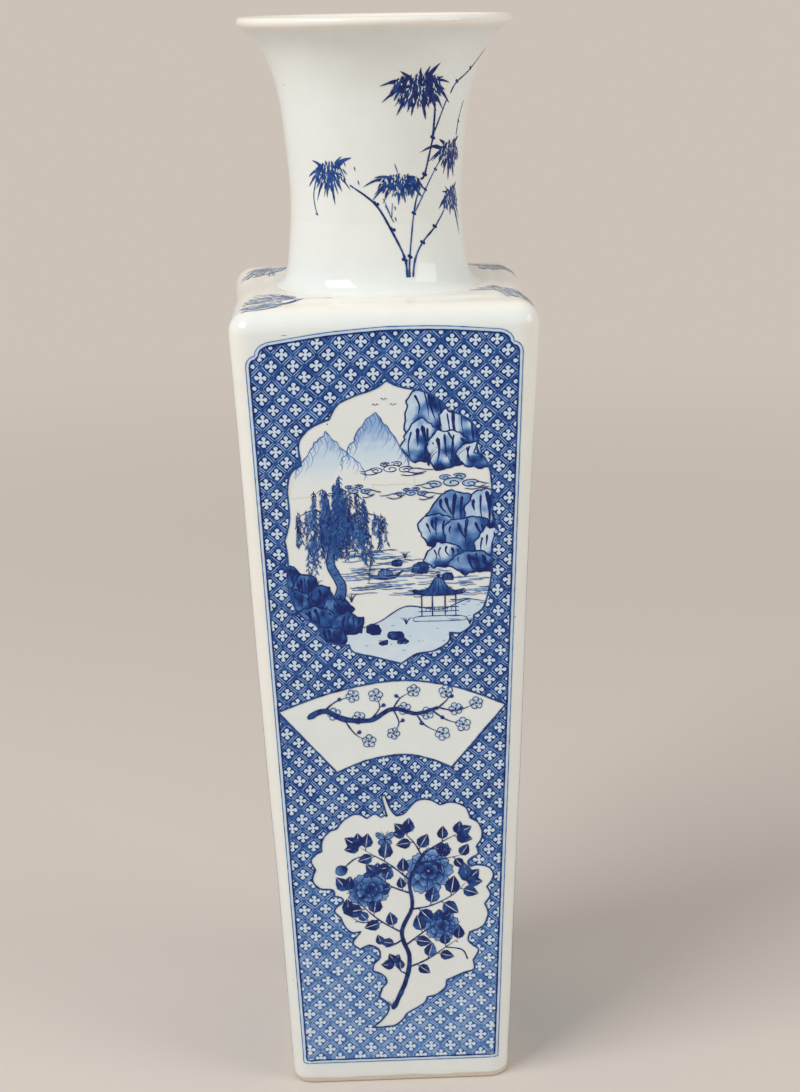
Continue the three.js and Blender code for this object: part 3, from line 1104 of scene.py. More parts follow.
def flicked(t):
    """Full where the brush lands and pointed where it leaves."""
    return clamp(t / 0.08) ** 0.5 * (1 - t) ** 0.7


def polar(x, y, radius, angle):
    """The point at a radius from x and y, in the direction of an angle."""
    return x + radius * math.cos(angle), y + radius * math.sin(angle)


def lens(start, end, width):
    """The outline of a pointed oval between two points."""
    count = 6
    length = math.dist(start, end)
    (x0, y0), (x1, y1) = start, end
    nx, ny = (y0 - y1) / length, (x1 - x0) / length
    bulges = [(t / count, width / 2 * math.sin(math.pi * t / count)) for t in range(count)]
    shares = bulges + [(1 - t, -half) for t, half in bulges]
    return [(x0 + (x1 - x0) * t + nx * half, y0 + (y1 - y0) * t + ny * half) for t, half in shares]


class Painting:
    """Brush work as one thin sheet: points across and up a surface in mm, with the ink at each."""

    def __init__(self, seed):
        self.random = random.Random(seed)
        self.points, self.lifts, self.inks, self.faces = [], [], [], []
        self.order = 0
        self.edge = None
        self.frame = (0.0, 0.0, 1.0, 1.0)

    def stand_at(self, middle, scale=1.0, mirrored=False, edge=None):
        """Draw from here on round this middle, and no further than the edge."""
        self.frame = (*middle, scale, -1.0 if mirrored else 1.0)
        self.edge = edge

    def lift(self, layer):
        self.order = (self.order + 1) % ORDERS
        return FIRST_LAYER + LAYER_STEP * layer + ORDER_STEP * self.order

    def moved(self, points):
        """Points round the middle as points of the whole painting."""
        x0, y0, scale, side = self.frame
        return [(x0 + side * scale * x, y0 + scale * y) for x, y in points]

    def placed(self, points):
        """The same, with what would pass the edge drawn back to it."""
        spots = self.moved(points)
        if self.edge:
            held = inside(spots, self.edge)
            spots = [spot if ok else nearest_on(self.edge, spot) for spot, ok in zip(spots, held)]
        return spots

    def holds(self, points):
        """Whether marks at these points stay inside the edge."""
        return not self.edge or inside(self.moved(points), self.edge).all()

    def add(self, spots, inks, faces, layer):
        """Add a patch of faces, turned the right way round in a mirrored panel."""
        first = len(self.points)
        lift = self.lift(layer)
        self.points += spots
        self.lifts += [lift] * len(spots)
        self.inks += [clamp(ink) for ink in inks]
        for face in faces:
            (x0, y0), (x1, y1), (x2, y2) = (spots[i] for i in face[:3])
            turn = (x1 - x0) * (y2 - y0) - (x2 - x0) * (y1 - y0)
            if len(face) == 4:
                x3, y3 = spots[face[3]]
                turn += (x2 - x0) * (y3 - y0) - (x3 - x0) * (y2 - y0)
            if abs(turn) > 1e-4:
                order = face if turn > 0 else face[::-1]
                self.faces.append((layer, tuple(first + i for i in order)))

    def stroke(self, path, width, ink, layer=LINE, shape=drawn, step=None):
        """One line of the brush, whose width and ink vary a little by themselves."""
        points = curve_through(path, step or max(0.9, 0.8 * width))
        count = len(points) - 1
        drift = self.random.uniform(0, 90)
        spots, inks = [], []
        for i, (x, y) in enumerate(points):
            (x0, y0), (x1, y1) = points[max(i - 1, 0)], points[min(i + 1, count)]
            length = math.hypot(x1 - x0, y1 - y0) or 1.0
            flutter = noise.noise((x * 0.4 + drift, y * 0.4, drift))
            half = max(width * shape(i / count) * (1 + WIDTH_FLUTTER * flutter) / 2, 0.05)
            nx, ny = (y0 - y1) / length * half, (x1 - x0) / length * half
            spots += [(x + nx, y + ny), (x - nx, y - ny)]
            inks += [ink * (1 + INK_FLUTTER * flutter)] * 2
        faces = [(2 * i + 1, 2 * i + 3, 2 * i + 2, 2 * i) for i in range(count)]
        self.add(self.placed(spots), inks, faces, layer)

    def outline(self, ring, width, ink, layer=LINE, step=None):
        """An even line that closes on itself."""
        self.stroke([*ring, ring[0]], width, ink, layer, even, step)

    def wash(self, outline, ink, layer=WASH, grain=2.0, rim=0.1):
        """An area of thinned ink, which dries darker along its edge. ink may be a function of x and y."""
        x0, y0, scale, side = self.frame
        ring = []
        for spot in self.placed(outline):
            if not ring or math.dist(spot, ring[-1]) > 0.05:
                ring.append(spot)
        if len(ring) < 4:
            return
        spots, faces, on_edge = filled(ring, grain * scale)
        drift = self.random.uniform(0, 90)
        inks = []
        for (x, y), edged in zip(spots, on_edge):
            tone = ink((x - x0) / scale * side, (y - y0) / scale) if callable(ink) else ink
            cloud = noise.noise((x * 0.22 + drift, y * 0.22, drift))
            inks.append(tone * (1 + WASH_CLOUD * cloud) + (rim if edged else 0))
        self.add(spots, inks, faces, layer)

    def ragged(self, outline, amount, step):
        """A closed outline with the small bumps of broken rock."""
        drift = self.random.uniform(0, 90)
        ring = []
        for start, end in zip(outline, [*outline[1:], outline[0]]):
            count = max(1, round(math.dist(start, end) / step))
            for i in range(count):
                x, y = (a + (b - a) * i / count for a, b in zip(start, end))
                shove = noise.noise_vector((x * 0.35 + drift, y * 0.35, drift)) * amount
                ring.append((x + shove.x, y + shove.y))
        return ring

    def scatter(self, ring, count):
        """Places inside a ring, drawn at random."""
        xs, ys = zip(*ring)
        spots = [(self.random.uniform(min(xs), max(xs)), self.random.uniform(min(ys), max(ys)))
                 for _ in range(count)]
        return [spot for spot, kept in zip(spots, inside(spots, ring)) if kept]

    def blob(self, x, y, radius, ink, layer=LINE):
        """A small round dab."""
        points = 8
        turn = self.random.uniform(0, 6)
        ring = [(x + radius * math.cos(turn + 2 * math.pi * i / points) * self.random.uniform(0.85, 1.1),
                 y + radius * math.sin(turn + 2 * math.pi * i / points))
                for i in range(points)]
        faces = [(points, i, (i + 1) % points) for i in range(points)]
        self.add(self.placed(ring + [(x, y)]), [ink] * (points + 1), faces, layer)

    def lay(self, name, place, surface, slot, material="brushwork"):
        """Lay the sheet on a surface. place turns a point of the painting into a start and a direction."""
        mesh = bpy.data.meshes.new(name)
        spots, normals = [], []
        for (across, up), lift in zip(self.points, self.lifts):
            spot, normal = surface.under(*place(across, up))
            spots.append(spot + normal * lift * MM)
            normals.append(normal)
        upwards = sorted(self.faces, key=lambda item: item[0])
        mesh.from_pydata(spots, [], [face for _, face in upwards])
        mesh.shade_smooth()
        mesh.attributes.new("cobalt", "FLOAT", "POINT").data.foreach_set("value", self.inks)
        flat = np.array(self.points, float)
        low, span = flat.min(0), np.ptp(flat, axis=0)
        corners = np.empty(len(mesh.loops), np.int32)
        mesh.loops.foreach_get("vertex_index", corners)
        pattern = bpy.context.scene.vase_pattern
        pitch = np.array((pattern.cell_width, pattern.cell_height)) / MM
        for label, spread in (("OFBake", (flat - low) / span), ("cells", flat / pitch)):
            layer = mesh.uv_layers.new(name=label)
            layer.uv.foreach_set("vector", spread[corners].astype(np.float32).ravel())
        mesh.normals_split_custom_set_from_vertices(normals)
        mesh.materials.append(glazes[material])
        piece = bpy.data.objects.new(name, mesh)
        bpy.context.collection.objects.link(piece)
        finish_piece(piece, slot)


# A sheet on the neck is drawn as wide as round a cylinder of this radius, in millimetres
NECK_SHEET_RADIUS = 50

# Where the rays towards a surface start: this far off the axis, or above the shoulder
WALL_RAY, NECK_RAY, SHOULDER_RAY = 0.1, 0.15, 0.02


def on_wall(turn):
    """Places of a painting on the wall that faces a quarter turn times the given number."""
    spin = Matrix.Rotation(turn * math.pi / 2, 3, "Z")

    def place(across, up):
        return spin @ Vector((across * MM, -WALL_RAY, up * MM)), spin @ Vector((0, 1, 0))

    return place


def on_neck(across, up):
    """Places of a painting on the neck."""
    angle = across / NECK_SHEET_RADIUS
    lean = bpy.context.scene.vase_neck.lean
    around = Vector((math.sin(angle), -math.cos(angle), 0))
    return Vector((-lean, 0, up * MM)) + around * NECK_RAY, -around


def on_shoulder(across, up):
    return Vector((across * MM, up * MM, SHOULDER_HIGH.z + SHOULDER_RAY)), Vector((0, 0, -1))


# What is painted in the panels, each piece in millimetres round its own middle

def crag(brush, lumps, light, deep):
    """A pile of rocks from the far ones to the near ones, each palest at its upper left and cut by
    dark strokes."""
    rng = brush.random
    for count, (x, y, width, height) in enumerate(lumps):
        layer = min(TONE + count // 4, LINE)
        if count % 4 == 0:
            brush.order = 0
        outline = []
        for i in range(9):
            a = 2 * math.pi * i / 9 + rng.uniform(-0.2, 0.2)
            outline.append((x + 0.54 * width * math.cos(a) * rng.uniform(0.82, 1.18),
                            y + 0.54 * height * max(math.sin(a), -0.8) * rng.uniform(0.86, 1.14)))
        ring = brush.ragged(outline, 1.3, 1.8)
        palest = light + rng.choice((0, 0.05, 0.3)) * (deep - light)

        def tone(px, py):
            shade = (px - x) / width - (py - y) / height + 0.8 * noise.noise((px * 0.15, py * 0.15, x))
            return palest + (deep - palest) * smooth(-0.3, 0.45, shade)

        brush.wash(ring, tone, layer, 1.5)
        brush.outline(ring, 0.8, 1.0, layer, 1.5)
        for cut in range(5):
            share = 0.16 * cut - 0.3 + rng.uniform(-0.06, 0.06)
            top = (x + share * width, y + (0.44 - 0.5 * abs(share)) * height)
            foot = (top[0] + rng.uniform(-0.05, 0.16) * width, y - rng.uniform(-0.05, 0.4) * height)
            middle = ((top[0] + foot[0]) / 2 + rng.uniform(-0.08, 0.08) * width, (top[1] + foot[1]) / 2)
            brush.stroke((top, middle, foot), rng.uniform(0.8, 2.6), 1.0, layer, flicked)


def spread_out(points, x, y, width, height):
    """Points given as shares of a motif's width and height round its middle."""
    return [(x + across * width, y + up * height) for across, up in points]


def boulder(brush, x, y, width, height, ink):
    """A squat dark stone with a facet or two."""
    stone = ((-0.5, -0.35), (-0.42, 0.25), (-0.1, 0.5), (0.3, 0.38), (0.5, -0.1), (0.36, -0.48),
             (-0.15, -0.5))
    facet = ((-0.1, 0.45), (-0.02, 0), (-0.16, -0.4))
    ring = brush.ragged(spread_out(stone, x, y, width, height), 0.06 * (width + height), 1.5)
    brush.wash(ring, lambda px, py: ink + 0.02 * (y - py), TONE, 1.6)
    brush.outline(ring, 0.5, 1.0, LINE, 1.4)
    brush.stroke(spread_out(facet, x, y, width, height), 0.5, 1.0)


def cloud(brush, x, y, size, tail):
    """A bank of cloud: scrolls that curl in on themselves, with long trailing lines."""
    scrolls = ((0, 0, 0.8, 1), (-1.15, -0.1, 0.6, -1), (1.1, -0.08, 0.66, 1), (0.45, 0.4, 0.5, -1),
               (-0.5, 0.36, 0.45, 1))
    turns = [0.5 + 9.6 * i / 26 for i in range(27)]
    for dx, dy, share, way in scrolls:
        scroll = [(x + size * (dx + way * share * (1 - 0.085 * a) * math.cos(a)),
                   y + size * (dy + 0.45 * share * (1 - 0.085 * a) * math.sin(a))) for a in turns]
        brush.wash(scroll[:16], 0.16)
        brush.stroke(scroll, 0.5, 0.92, LINE, even)
    for way, drop in ((1, 0.4), (1, 1.9), (-1, 0.6), (-1, 2.2), (1, 3.1)):
        start = x + way * size * (1.5 - 0.25 * drop)
        reach = tail * brush.random.uniform(0.6, 1.1)
        path = [(start + way * reach * t, y - drop + 0.6 * math.sin(5 * t + drop)) for t in (0, 0.3, 0.6, 1)]
        brush.stroke(path, 0.55, 0.85)


def ripples(brush, outline, count):
    """Water: short level strokes, thickest where they crowd."""
    for x, y in brush.scatter(outline, count):
        y = round(y / 1.1) * 1.1 + brush.random.uniform(-0.15, 0.15)
        reach = brush.random.uniform(2.5, 8)
        path = [(x + reach * t, y + 0.35 * math.sin(3 * t * brush.random.uniform(0.8, 1.2)))
                for t in (-1, -0.3, 0.3, 1)]
        brush.stroke(path, brush.random.uniform(0.3, 0.55), brush.random.uniform(0.35, 0.85), TONE)


def mountain(brush, outline, ink):
    """A far peak that fades towards its foot."""
    ring = brush.ragged(outline, 1.3, 2.2)
    low, high = min(y for _, y in ring), max(y for _, y in ring)
    brush.wash(ring, lambda x, y: ink * smooth(low, high, y), WASH, 2.2, 0.0)
    ridge = [spot for spot in ring[2:] if spot[1] > low + 0.25 * (high - low)]
    brush.stroke(ridge, 0.5, ink + 0.4, TONE)
    for x, y in ridge[1:-1]:
        fall = (y - low) * brush.random.uniform(0.15, 0.4)
        path = ((x, y), (x + 0.15 * fall, y - 0.5 * fall), (x - 0.1 * fall, y - fall))
        brush.stroke(path, 0.6, ink + 0.15, TONE, flicked)


def grass(brush, x, y, size, count=6):
    for i in range(count):
        lean = (i / (count - 1) - 0.5) * 1.6 + brush.random.uniform(-0.15, 0.15)
        path = ((x, y), (x + lean * size * 0.35, y + size * 0.65), (x + lean * size, y + size))
        brush.stroke(path, 0.55, 0.95, LINE, flicked, 0.8)


def grown(t):
    """The width of a trunk, which narrows towards its tip."""
    return (1 - 0.55 * t) * clamp(t / 0.03 + 0.25)


def trunk(brush, path, width, ink):
    """A tree trunk: a toned ribbon between two dark edges, with ticks of bark."""
    line = curve_through(path, 1.5)
    count = len(line) - 1
    brush.stroke(path, width, ink, TONE, grown)
    for side in (-0.5, 0.5):
        edge = []
        for i, (x, y) in enumerate(line):
            (x0, y0), (x1, y1) = line[max(i - 1, 0)], line[min(i + 1, count)]
            length = math.hypot(x1 - x0, y1 - y0) or 1.0
            reach = side * width * grown(i / count) * brush.random.uniform(0.85, 1.15)
            edge.append((x - (y1 - y0) / length * reach, y + (x1 - x0) / length * reach))
        brush.stroke(edge[::2], 0.6, 1.0, LINE, even)
    for x, y in line[1:-1:2]:
        brush.stroke(((x - 0.25 * width, y + 0.6), (x, y), (x + 0.2 * width, y + 0.7)), 0.45, 1.0)


def willow(brush, root, crown, boughs, strands, reach):
    """A leaning willow: a trunk, boughs that arch over and strands of small leaves hanging from them."""
    rng = brush.random
    middle = ((root[0] + crown[0]) / 2 - 3, (root[1] + crown[1]) / 2)
    trunk(brush, (root, (root[0] + 2.2, root[1] + 9), middle, crown), 5.4, 0.62)
    for spread in (-5, -2, 3, 6):
        toe = (root[0] + spread, root[1] - 0.5)
        brush.stroke(((root[0] + 0.3 * spread, root[1] + 4), toe), 1.1, 1.0, BODY, flicked)
    start = (middle[0] * 0.3 + crown[0] * 0.7, middle[1] * 0.3 + crown[1] * 0.7)
    for tip in boughs:
        rise = (crown[0] + 0.45 * (tip[0] - crown[0]), max(crown[1], tip[1]) + 3)
        brush.stroke((start, rise, tip), 1.5, 0.95, BODY, flicked)
        for point in curve_through((start, rise, tip), 2.2)[2:]:
            for _ in range(strands):
                x, y = point[0] + rng.uniform(-1.5, 1.5), point[1] + rng.uniform(-1, 2.5)
                fall = rng.uniform(0.5, 1.0) * reach
                sway = rng.uniform(-2.0, 2.0)
                strand = ((x, y), (x + 0.3 * sway, y - 0.5 * fall), (x + sway, y - fall))
                tone = rng.uniform(0.6, 0.95)
                brush.stroke(strand, 0.32, tone, BODY)
                for px, py in curve_through(strand, 1.35)[1:]:
                    way = rng.choice((-1, 1))
                    tip_x, tip_y = px + way * rng.uniform(0.8, 1.6), py - rng.uniform(1.6, 2.6)
                    bend = ((px + tip_x) / 2 + 0.15 * way, (py + tip_y) / 2)
                    brush.stroke(((px, py), bend, (tip_x, tip_y)),
                                 0.75, tone + rng.uniform(-0.1, 0.15), LINE, pressed, 0.9)


def pavilion(brush, x, y, size):
    """An open pavilion: a swept roof on posts, with a railing and a stone step."""
    roof = ((-1.1, 0.05), (-1.22, 0.26), (-0.75, 0.2), (-0.42, 0.42), (-0.2, 0.78), (0, 0.86), (0.2, 0.78),
            (0.42, 0.42), (0.75, 0.2), (1.22, 0.26), (1.1, 0.05), (0, -0.04))

    def at(*points):
        return spread_out(points, x, y, size, size)

    ring = at(*roof)
    brush.wash(ring, lambda px, py: 0.62 + 0.3 * (y + size * 0.8 - py) / size, TONE, 1.5)
    brush.outline(ring, 0.5, 1.0)
    for rib in (-0.6, -0.3, 0, 0.3, 0.6):
        brush.stroke(at((0.3 * rib, 0.75), (rib, 0.05)), 0.4, 1.0, ACCENT)
    brush.blob(x, y + 0.95 * size, 0.1 * size, 1.0)
    for post in (-0.8, -0.3, 0.3, 0.8):
        brush.stroke(at((post, 0), (post, -1.05)), 0.65, 0.95, LINE, even)
    for level in (-0.62, -0.82, -1.05):
        brush.stroke(at((-0.95, level), (0.95, level)), 0.45, 0.9, LINE, even)
    for tick in range(-4, 5):
        brush.stroke(at((0.2 * tick, -0.62), (0.2 * tick, -0.82)), 0.35, 0.85, LINE, even)
    step = at((-1.15, -1.3), (-1.05, -1.08), (1.05, -1.08), (1.15, -1.3))
    brush.wash(step, 0.3, WASH, 1.5)
    brush.outline(step, 0.4, 0.9)


def boat(brush, x, y, size):
    """A moored boat with a mat awning and a pole."""
    hull = ((-1.2, 0.3), (-0.8, -0.12), (0, -0.25), (0.8, -0.12), (1.35, 0.42), (0.85, 0.1), (0, 0.02),
            (-0.8, 0.1))
    ring = spread_out(hull, x, y, size, size)
    brush.wash(ring, 0.85, TONE, 1.2)
    brush.outline(ring, 0.4, 1.0)
    awning = [(x + size * (0.1 + 0.5 * math.cos(a)), y + size * (0.08 + 0.42 * math.sin(a)))
              for a in [math.pi * i / 6 for i in range(7)]]
    brush.wash(awning, 0.45, TONE, 1.2)
    brush.stroke(awning, 0.5, 0.95, LINE, even)
    for share in (0.3, 0.6):
        inner = [(x + size * 0.1 + (px - x - size * 0.1) * share, py) for px, py in awning]
        brush.stroke(inner, 0.35, 0.9, ACCENT, even)
    brush.stroke(spread_out(((-1.05, -0.5), (-0.85, 1.5)), x, y, size, size), 0.4, 0.9)


def birds(brush, x, y, count):
    for i in range(count):
        px, py = x + 4.5 * i + brush.random.uniform(-1, 1), y + 2.2 * math.sin(2 * i) + 0.8 * i
        brush.stroke(((px - 1.8, py + 0.7), (px - 0.7, py + 0.9), (px, py)), 0.5, 0.95)
        brush.stroke(((px, py), (px + 0.8, py + 0.9), (px + 1.9, py + 0.5)), 0.5, 0.95)


def leaf(brush, x, y, length, turn, ink=0.95):
    """A leaf in two halves, with its midrib left white between them, where the panel has room for it."""
    cos, sin = math.cos(turn), math.sin(turn)
    breadth = 0.4
    half = ((0, 0.02), (0.14, 0.72), (0.4, 1.0), (0.68, 0.68), (1.0, 0.03), (0.6, 0.07), (0.3, 0.08))

    def spot(along, aside):
        return (x + length * (cos * along - sin * aside * breadth),
                y + length * (sin * along + cos * aside * breadth))

    if not brush.holds((spot(1.12, 0), spot(0.5, 1.2), spot(0.5, -1.2), (x, y))):
        return
    for side in (-1, 1):
        brush.wash([spot(along, side * aside) for along, aside in half],
                   ink + brush.random.uniform(-0.12, 0.05), TONE)
        for share in (0.3, 0.52):
            brush.stroke((spot(share, side * 0.12), spot(share + 0.16, side * 0.66)), 0.3, 1.0)


def peony(brush, x, y, size, turn):
    """A full bloom: three rings of scalloped petals round a dark heart."""
    rings = ((9, 1.0, 0.3, 0.95, 0.36, WASH), (7, 0.7, 0.2, 1.0, 0.44, TONE),
             (5, 0.42, 0.05, 1.0, 0.52, BODY))
    for count, reach, root, base, tip, layer in rings:
        far = reach * size
        spread = 2 * math.pi / count * 0.56
        for i in range(count):
            middle = turn + 2 * math.pi * (i + 0.4 * count) / count + brush.random.uniform(-0.08, 0.08)
            out = far * brush.random.uniform(0.88, 1.08)
            rim = [(middle + spread * (k / 6 - 0.5) * 2,
                    out * (1 - 0.07 * (k % 2) - 0.2 * abs(k / 3 - 1) ** 3)) for k in range(7)]
            edge = [polar(x, y, r, a) for a, r in rim]
            foot = [polar(x, y, root * size, a) for a in (middle + 0.25, middle - 0.25)]
            brush.wash([*edge, *foot], lambda px, py: base + (tip - base) * smooth(
                0.3 * out, out, math.hypot(px - x, py - y)), layer, 1.4, 0.0)
            brush.stroke([foot[1], *edge, foot[0]], 0.4, 0.95, layer + 1, even, 0.8)
    for _ in range(9):
        a, r = brush.random.uniform(0, 6.3), brush.random.uniform(0, 0.16) * size
        brush.blob(*polar(x, y, r, a), 0.5, 1.0, ACCENT)


def bud(brush, x, y, size, turn):
    """A round bud in its calyx, where the panel has room for it."""
    if not brush.holds([polar(x, y, 1.3 * size, a) for a in range(7)]):
        return
    ring = [(x + size * math.cos(a) * (1.15 if abs(math.sin(a - turn)) < 0.3 else 1), y + size * math.sin(a))
            for a in [2 * math.pi * i / 12 for i in range(12)]]
    brush.wash(ring, lambda px, py: 0.5 + 0.35 * smooth(
        -size, size, (x - px) * math.cos(turn) + (y - py) * math.sin(turn)), TONE, 1.2)
    brush.outline(ring, 0.4, 0.95)
    for lean in (-0.7, 0, 0.7):
        a = turn + math.pi + lean
        sepal = (polar(x, y, -1.2 * size, turn), polar(x, y, 0.9 * size, a), polar(x, y, 0.3 * size, a))
        brush.stroke(sepal, 0.9, 1.0, ACCENT, pressed)


def butterfly(brush, x, y, size):
    upper = ((0, 0), (0.4, 0.75), (1.0, 1.0), (1.15, 0.6), (0.75, 0.1))
    lower = ((0, 0), (0.7, -0.1), (0.85, -0.55), (0.5, -0.85), (0.2, -0.5))
    feeler = ((0, 0.3), (0.25, 0.9), (0.5, 1.2))
    for side in (-size, size):
        for wing, ink in ((upper, 0.45), (lower, 0.6)):
            ring = spread_out(wing, x, y, side, size)
            brush.wash(ring, ink, TONE, 1.2)
            brush.outline(ring, 0.4, 0.95)
        brush.blob(x + 0.75 * side, y + 0.6 * size, 0.12 * size, 1.0, ACCENT)
        brush.stroke(spread_out(feeler, x, y, side, size), 0.3, 0.9)
    brush.stroke(((x, y + 0.4 * size), (x, y - 0.7 * size)), 0.9, 1.0, ACCENT, pressed)


def plum_blossom(brush, x, y, size, turn):
    """Five round petals in outline, with stamens."""
    for i in range(5):
        a = turn + 2 * math.pi * i / 5
        middle = polar(x, y, 0.95 * size, a)
        ring = [polar(*middle, 0.75 * size, a - 2.3 + 4.6 * k / 8) for k in range(9)]
        brush.wash(ring, 0.12, WASH, 1.3)
        brush.stroke(ring, 0.42, 0.85, LINE, even, 0.7)
        brush.stroke(((x, y), polar(x, y, 0.75 * size, a + 0.3)), 0.3, 0.95)
        brush.blob(*polar(x, y, 0.85 * size, a + 0.3), 0.3, 1.0, ACCENT)
    brush.blob(x, y, 0.28 * size, 0.95, ACCENT)


# The panels

def paint_garden(brush):
    """A lake among rocks: far peaks, clouds and cliffs above, a willow and a pavilion on the banks."""
    mountain(brush, [(-50, 16), (-46, 30), (-36, 44), (-30, 50), (-24, 43), (-14, 33), (-6, 18)], 0.22)
    mountain(brush, [(-30, 22), (-20, 40), (-10, 56), (-5, 60), (2, 50), (10, 36), (14, 22)], 0.3)
    crag(brush, ((21, 58, 24, 34), (38, 50, 24, 30), (18, 43, 18, 22), (31, 39, 22, 22), (45, 36, 18, 15)),
         0.14, 1.0)
    grass(brush, 21, 31, 9, 7)
    grass(brush, 33, 30, 11, 7)
    for bank in ((2, 30, 6.5, 12), (33, 22, 8, 12), (-17, 19, 5.5, 8), (12, 17, 5, 9)):
        cloud(brush, *bank)
    crag(brush, ((34, 7, 26, 22), (50, 6, 20, 26), (25, -4, 18, 19), (40, -7, 25, 23),
                 (53, -13, 16, 20), (29, -17, 20, 13), (43, -21, 21, 13)), 0.16, 1.0)
    for stone in ((16, -23, 9, 6, 0.95), (4, -20, 6, 3.6, 0.9), (30, -28, 6, 4, 0.95)):
        boulder(brush, *stone)
    grass(brush, 8, -18, 4, 5)
    ripples(brush, [(-22, -12), (8, -14), (30, -27), (56, -30), (52, -44), (10, -38), (-20, -36)], 250)
    boat(brush, -3, -27, 7.5)
    shore = [(-24, -60), (-20, -57), (-6, -52), (8, -44), (26, -46), (40, -41), (51, -43)]
    rim = [(x, y - GARDEN_MIDDLE[1]) for x, y in closed_outline(GARDEN_LOBES, 2.0)]
    bank = shore + [(x, y) for x, y in rim if y < -45 and x > -24]
    brush.wash(bank, lambda x, y: 0.07 + 0.07 * smooth(-75, -45, y), WASH, 2.2, 0.02)
    brush.stroke(shore, 0.55, 0.9)
    pavilion(brush, 25, -38, 11)
    grass(brush, 8, -54, 4)
    grass(brush, 41, -55, 4)
    for x, y in brush.scatter(bank, 60):
        tick = ((x, y), (x + brush.random.uniform(1, 3), y + 0.3))
        brush.stroke(tick, 0.35, brush.random.uniform(0.3, 0.6), TONE)
    crag(brush, ((2, -60, 7, 5), (6, -63, 5, 3.4), (-4, -64, 4, 2.6)), 0.8, 1.0)
    boughs = ((-46, 6), (-38, 16), (-24, 22), (-12, 14), (-2, 4), (-40, -8), (-10, -6))
    willow(brush, (-27, -41), (-27, 2), boughs, 2, 19)
    crag(brush, ((-51, -27, 12, 14), (-44, -32, 13, 13), (-36, -38, 13, 12), (-49, -42, 18, 18),
                 (-28, -45, 15, 11), (-39, -50, 20, 15), (-22, -53, 17, 13), (-33, -60, 20, 12)), 0.6, 1.0)
    boulder(brush, -9, -56, 8, 6, 0.95)
    grass(brush, -38, -33, 5)
    grass(brush, -20, -41, 5)
    birds(brush, -6, 63, 3)


def leafy_twig(brush, path, size):
    """A twig with leaves on alternate sides and three at its tip."""
    brush.stroke(path, 1.1, 0.95, BODY, flicked)
    points = curve_through(path, 1.0)
    pitch = max(3, round(0.62 * size))
    for order, i in enumerate(range(pitch, len(points), pitch)):
        (x0, y0), (x, y) = points[i - 1], points[i]
        along = math.atan2(y - y0, x - x0)
        turn = along + (0.95 if order % 2 else -0.95) + brush.random.uniform(-0.25, 0.25)
        start = polar(x, y, 0.18 * size, turn)
        brush.stroke(((x, y), start), 0.45, 0.95, BODY, even)
        leaf(brush, *start, size * brush.random.uniform(0.8, 1.1), turn, brush.random.uniform(0.78, 1.0))
    (x0, y0), (x, y) = points[-3], points[-1]
    for lean in (-0.85, 0.85, 0):
        leaf(brush, x, y, size * (1 - 0.15 * abs(lean)), math.atan2(y - y0, x - x0) + lean)


def paint_leaf(brush):
    """A peony spray that climbs from the leaf's lower tip."""
    stem = ((-6, -58), (1, -42), (4, -26), (0, -10), (6, 6), (5, 22), (13, 38))
    trunk(brush, stem, 2.2, 0.9)
    twigs = (
        (((3, -32), (14, -27), (24, -20), (31, -15)), 9.5),
        (((0, -10), (-12, -2), (-22, 8), (-29, 17)), 10),
        (((4, 4), (16, 6), (28, 12), (36, 20)), 10),
        (((5, 22), (-6, 32), (-15, 38), (-22, 43)), 9.5),
        (((12, 36), (8, 44), (3, 50)), 8.5), (((13, 38), (22, 44), (31, 49)), 9),
        (((2, -18), (12, -10), (20, -4)), 9), (((1, -14), (-6, -18), (-11, -17)), 7.5),
        (((10, 32), (22, 34), (33, 36)), 9), (((-12, -2), (-22, -3), (-29, 2)), 9),
        (((5, 14), (-6, 19), (-13, 26)), 8.5), (((3, -36), (-1, -34), (-4, -29)), 7),
    )
    for twig in twigs:
        leafy_twig(brush, *twig)
    for path in (((24, -20), (33, -22), (36, -28)), ((-15, 38), (-24, 36), (-30, 31))):
        brush.stroke(path, 0.7, 0.95, BODY, even)
    for bloom in ((15, 27, 13.5, 0.3), (-17, 17, 12.0, 1.1), (22, -7, 10.5, 2.0)):
        peony(brush, *bloom)
    for closed in ((36, -31, 2.9, 4.9), (-32, 29, 3.0, 3.6)):
        bud(brush, *closed)
    butterfly(brush, -8, 47, 4.2)
    grass(brush, -6, -58, 6, 5)


def paint_fan(brush):
    """A branch of plum blossom across the fan."""
    trunk(brush, ((-45, 5), (-36, 9), (-26, 4), (-12, 3), (0, 9), (12, 6), (24, 9)), 2.8, 0.9)
    twigs = (((-36, 9), (-30, 14), (-21, 17)), ((-26, 4), (-20, -5), (-13, -9)),
             ((-12, 3), (-7, 10), (-9, 17)), ((0, 9), (4, 15), (11, 19)), ((0, 9), (3, 1), (0, -5)),
             ((12, 6), (17, -1), (26, -6)), ((24, 9), (34, 7), (44, 11)), ((24, 9), (29, 14), (28, 18)),
             ((20, 8), (28, 2), (37, -1)))
    for path in twigs:
        brush.stroke(path, 1.0, 0.95, BODY, flicked)
        (x0, y0), (x, y) = path[1:]
        plum_blossom(brush, x, y, brush.random.uniform(1.9, 2.4), brush.random.uniform(0, 1.2))
        turn = brush.random.choice((-1, 1)) * 2.6
        bx, by = x0 + turn * 0.8, y0 + abs(turn) * 0.5
        brush.stroke(((x0, y0), (bx, by)), 0.5, 0.95)
        brush.blob(bx, by, 1.15, 0.8)
        brush.blob(bx - 0.2 * turn, by - 0.4, 0.6, 1.0, ACCENT)
    for x, y in ((-31, 7), (-18, 4.5), (6, 9), (18, 6), (33, 8)):
        plum_blossom(brush, x, y, 2.1, brush.random.uniform(0, 1.2))


PANEL_PAINTERS = (paint_garden, paint_fan, paint_leaf)


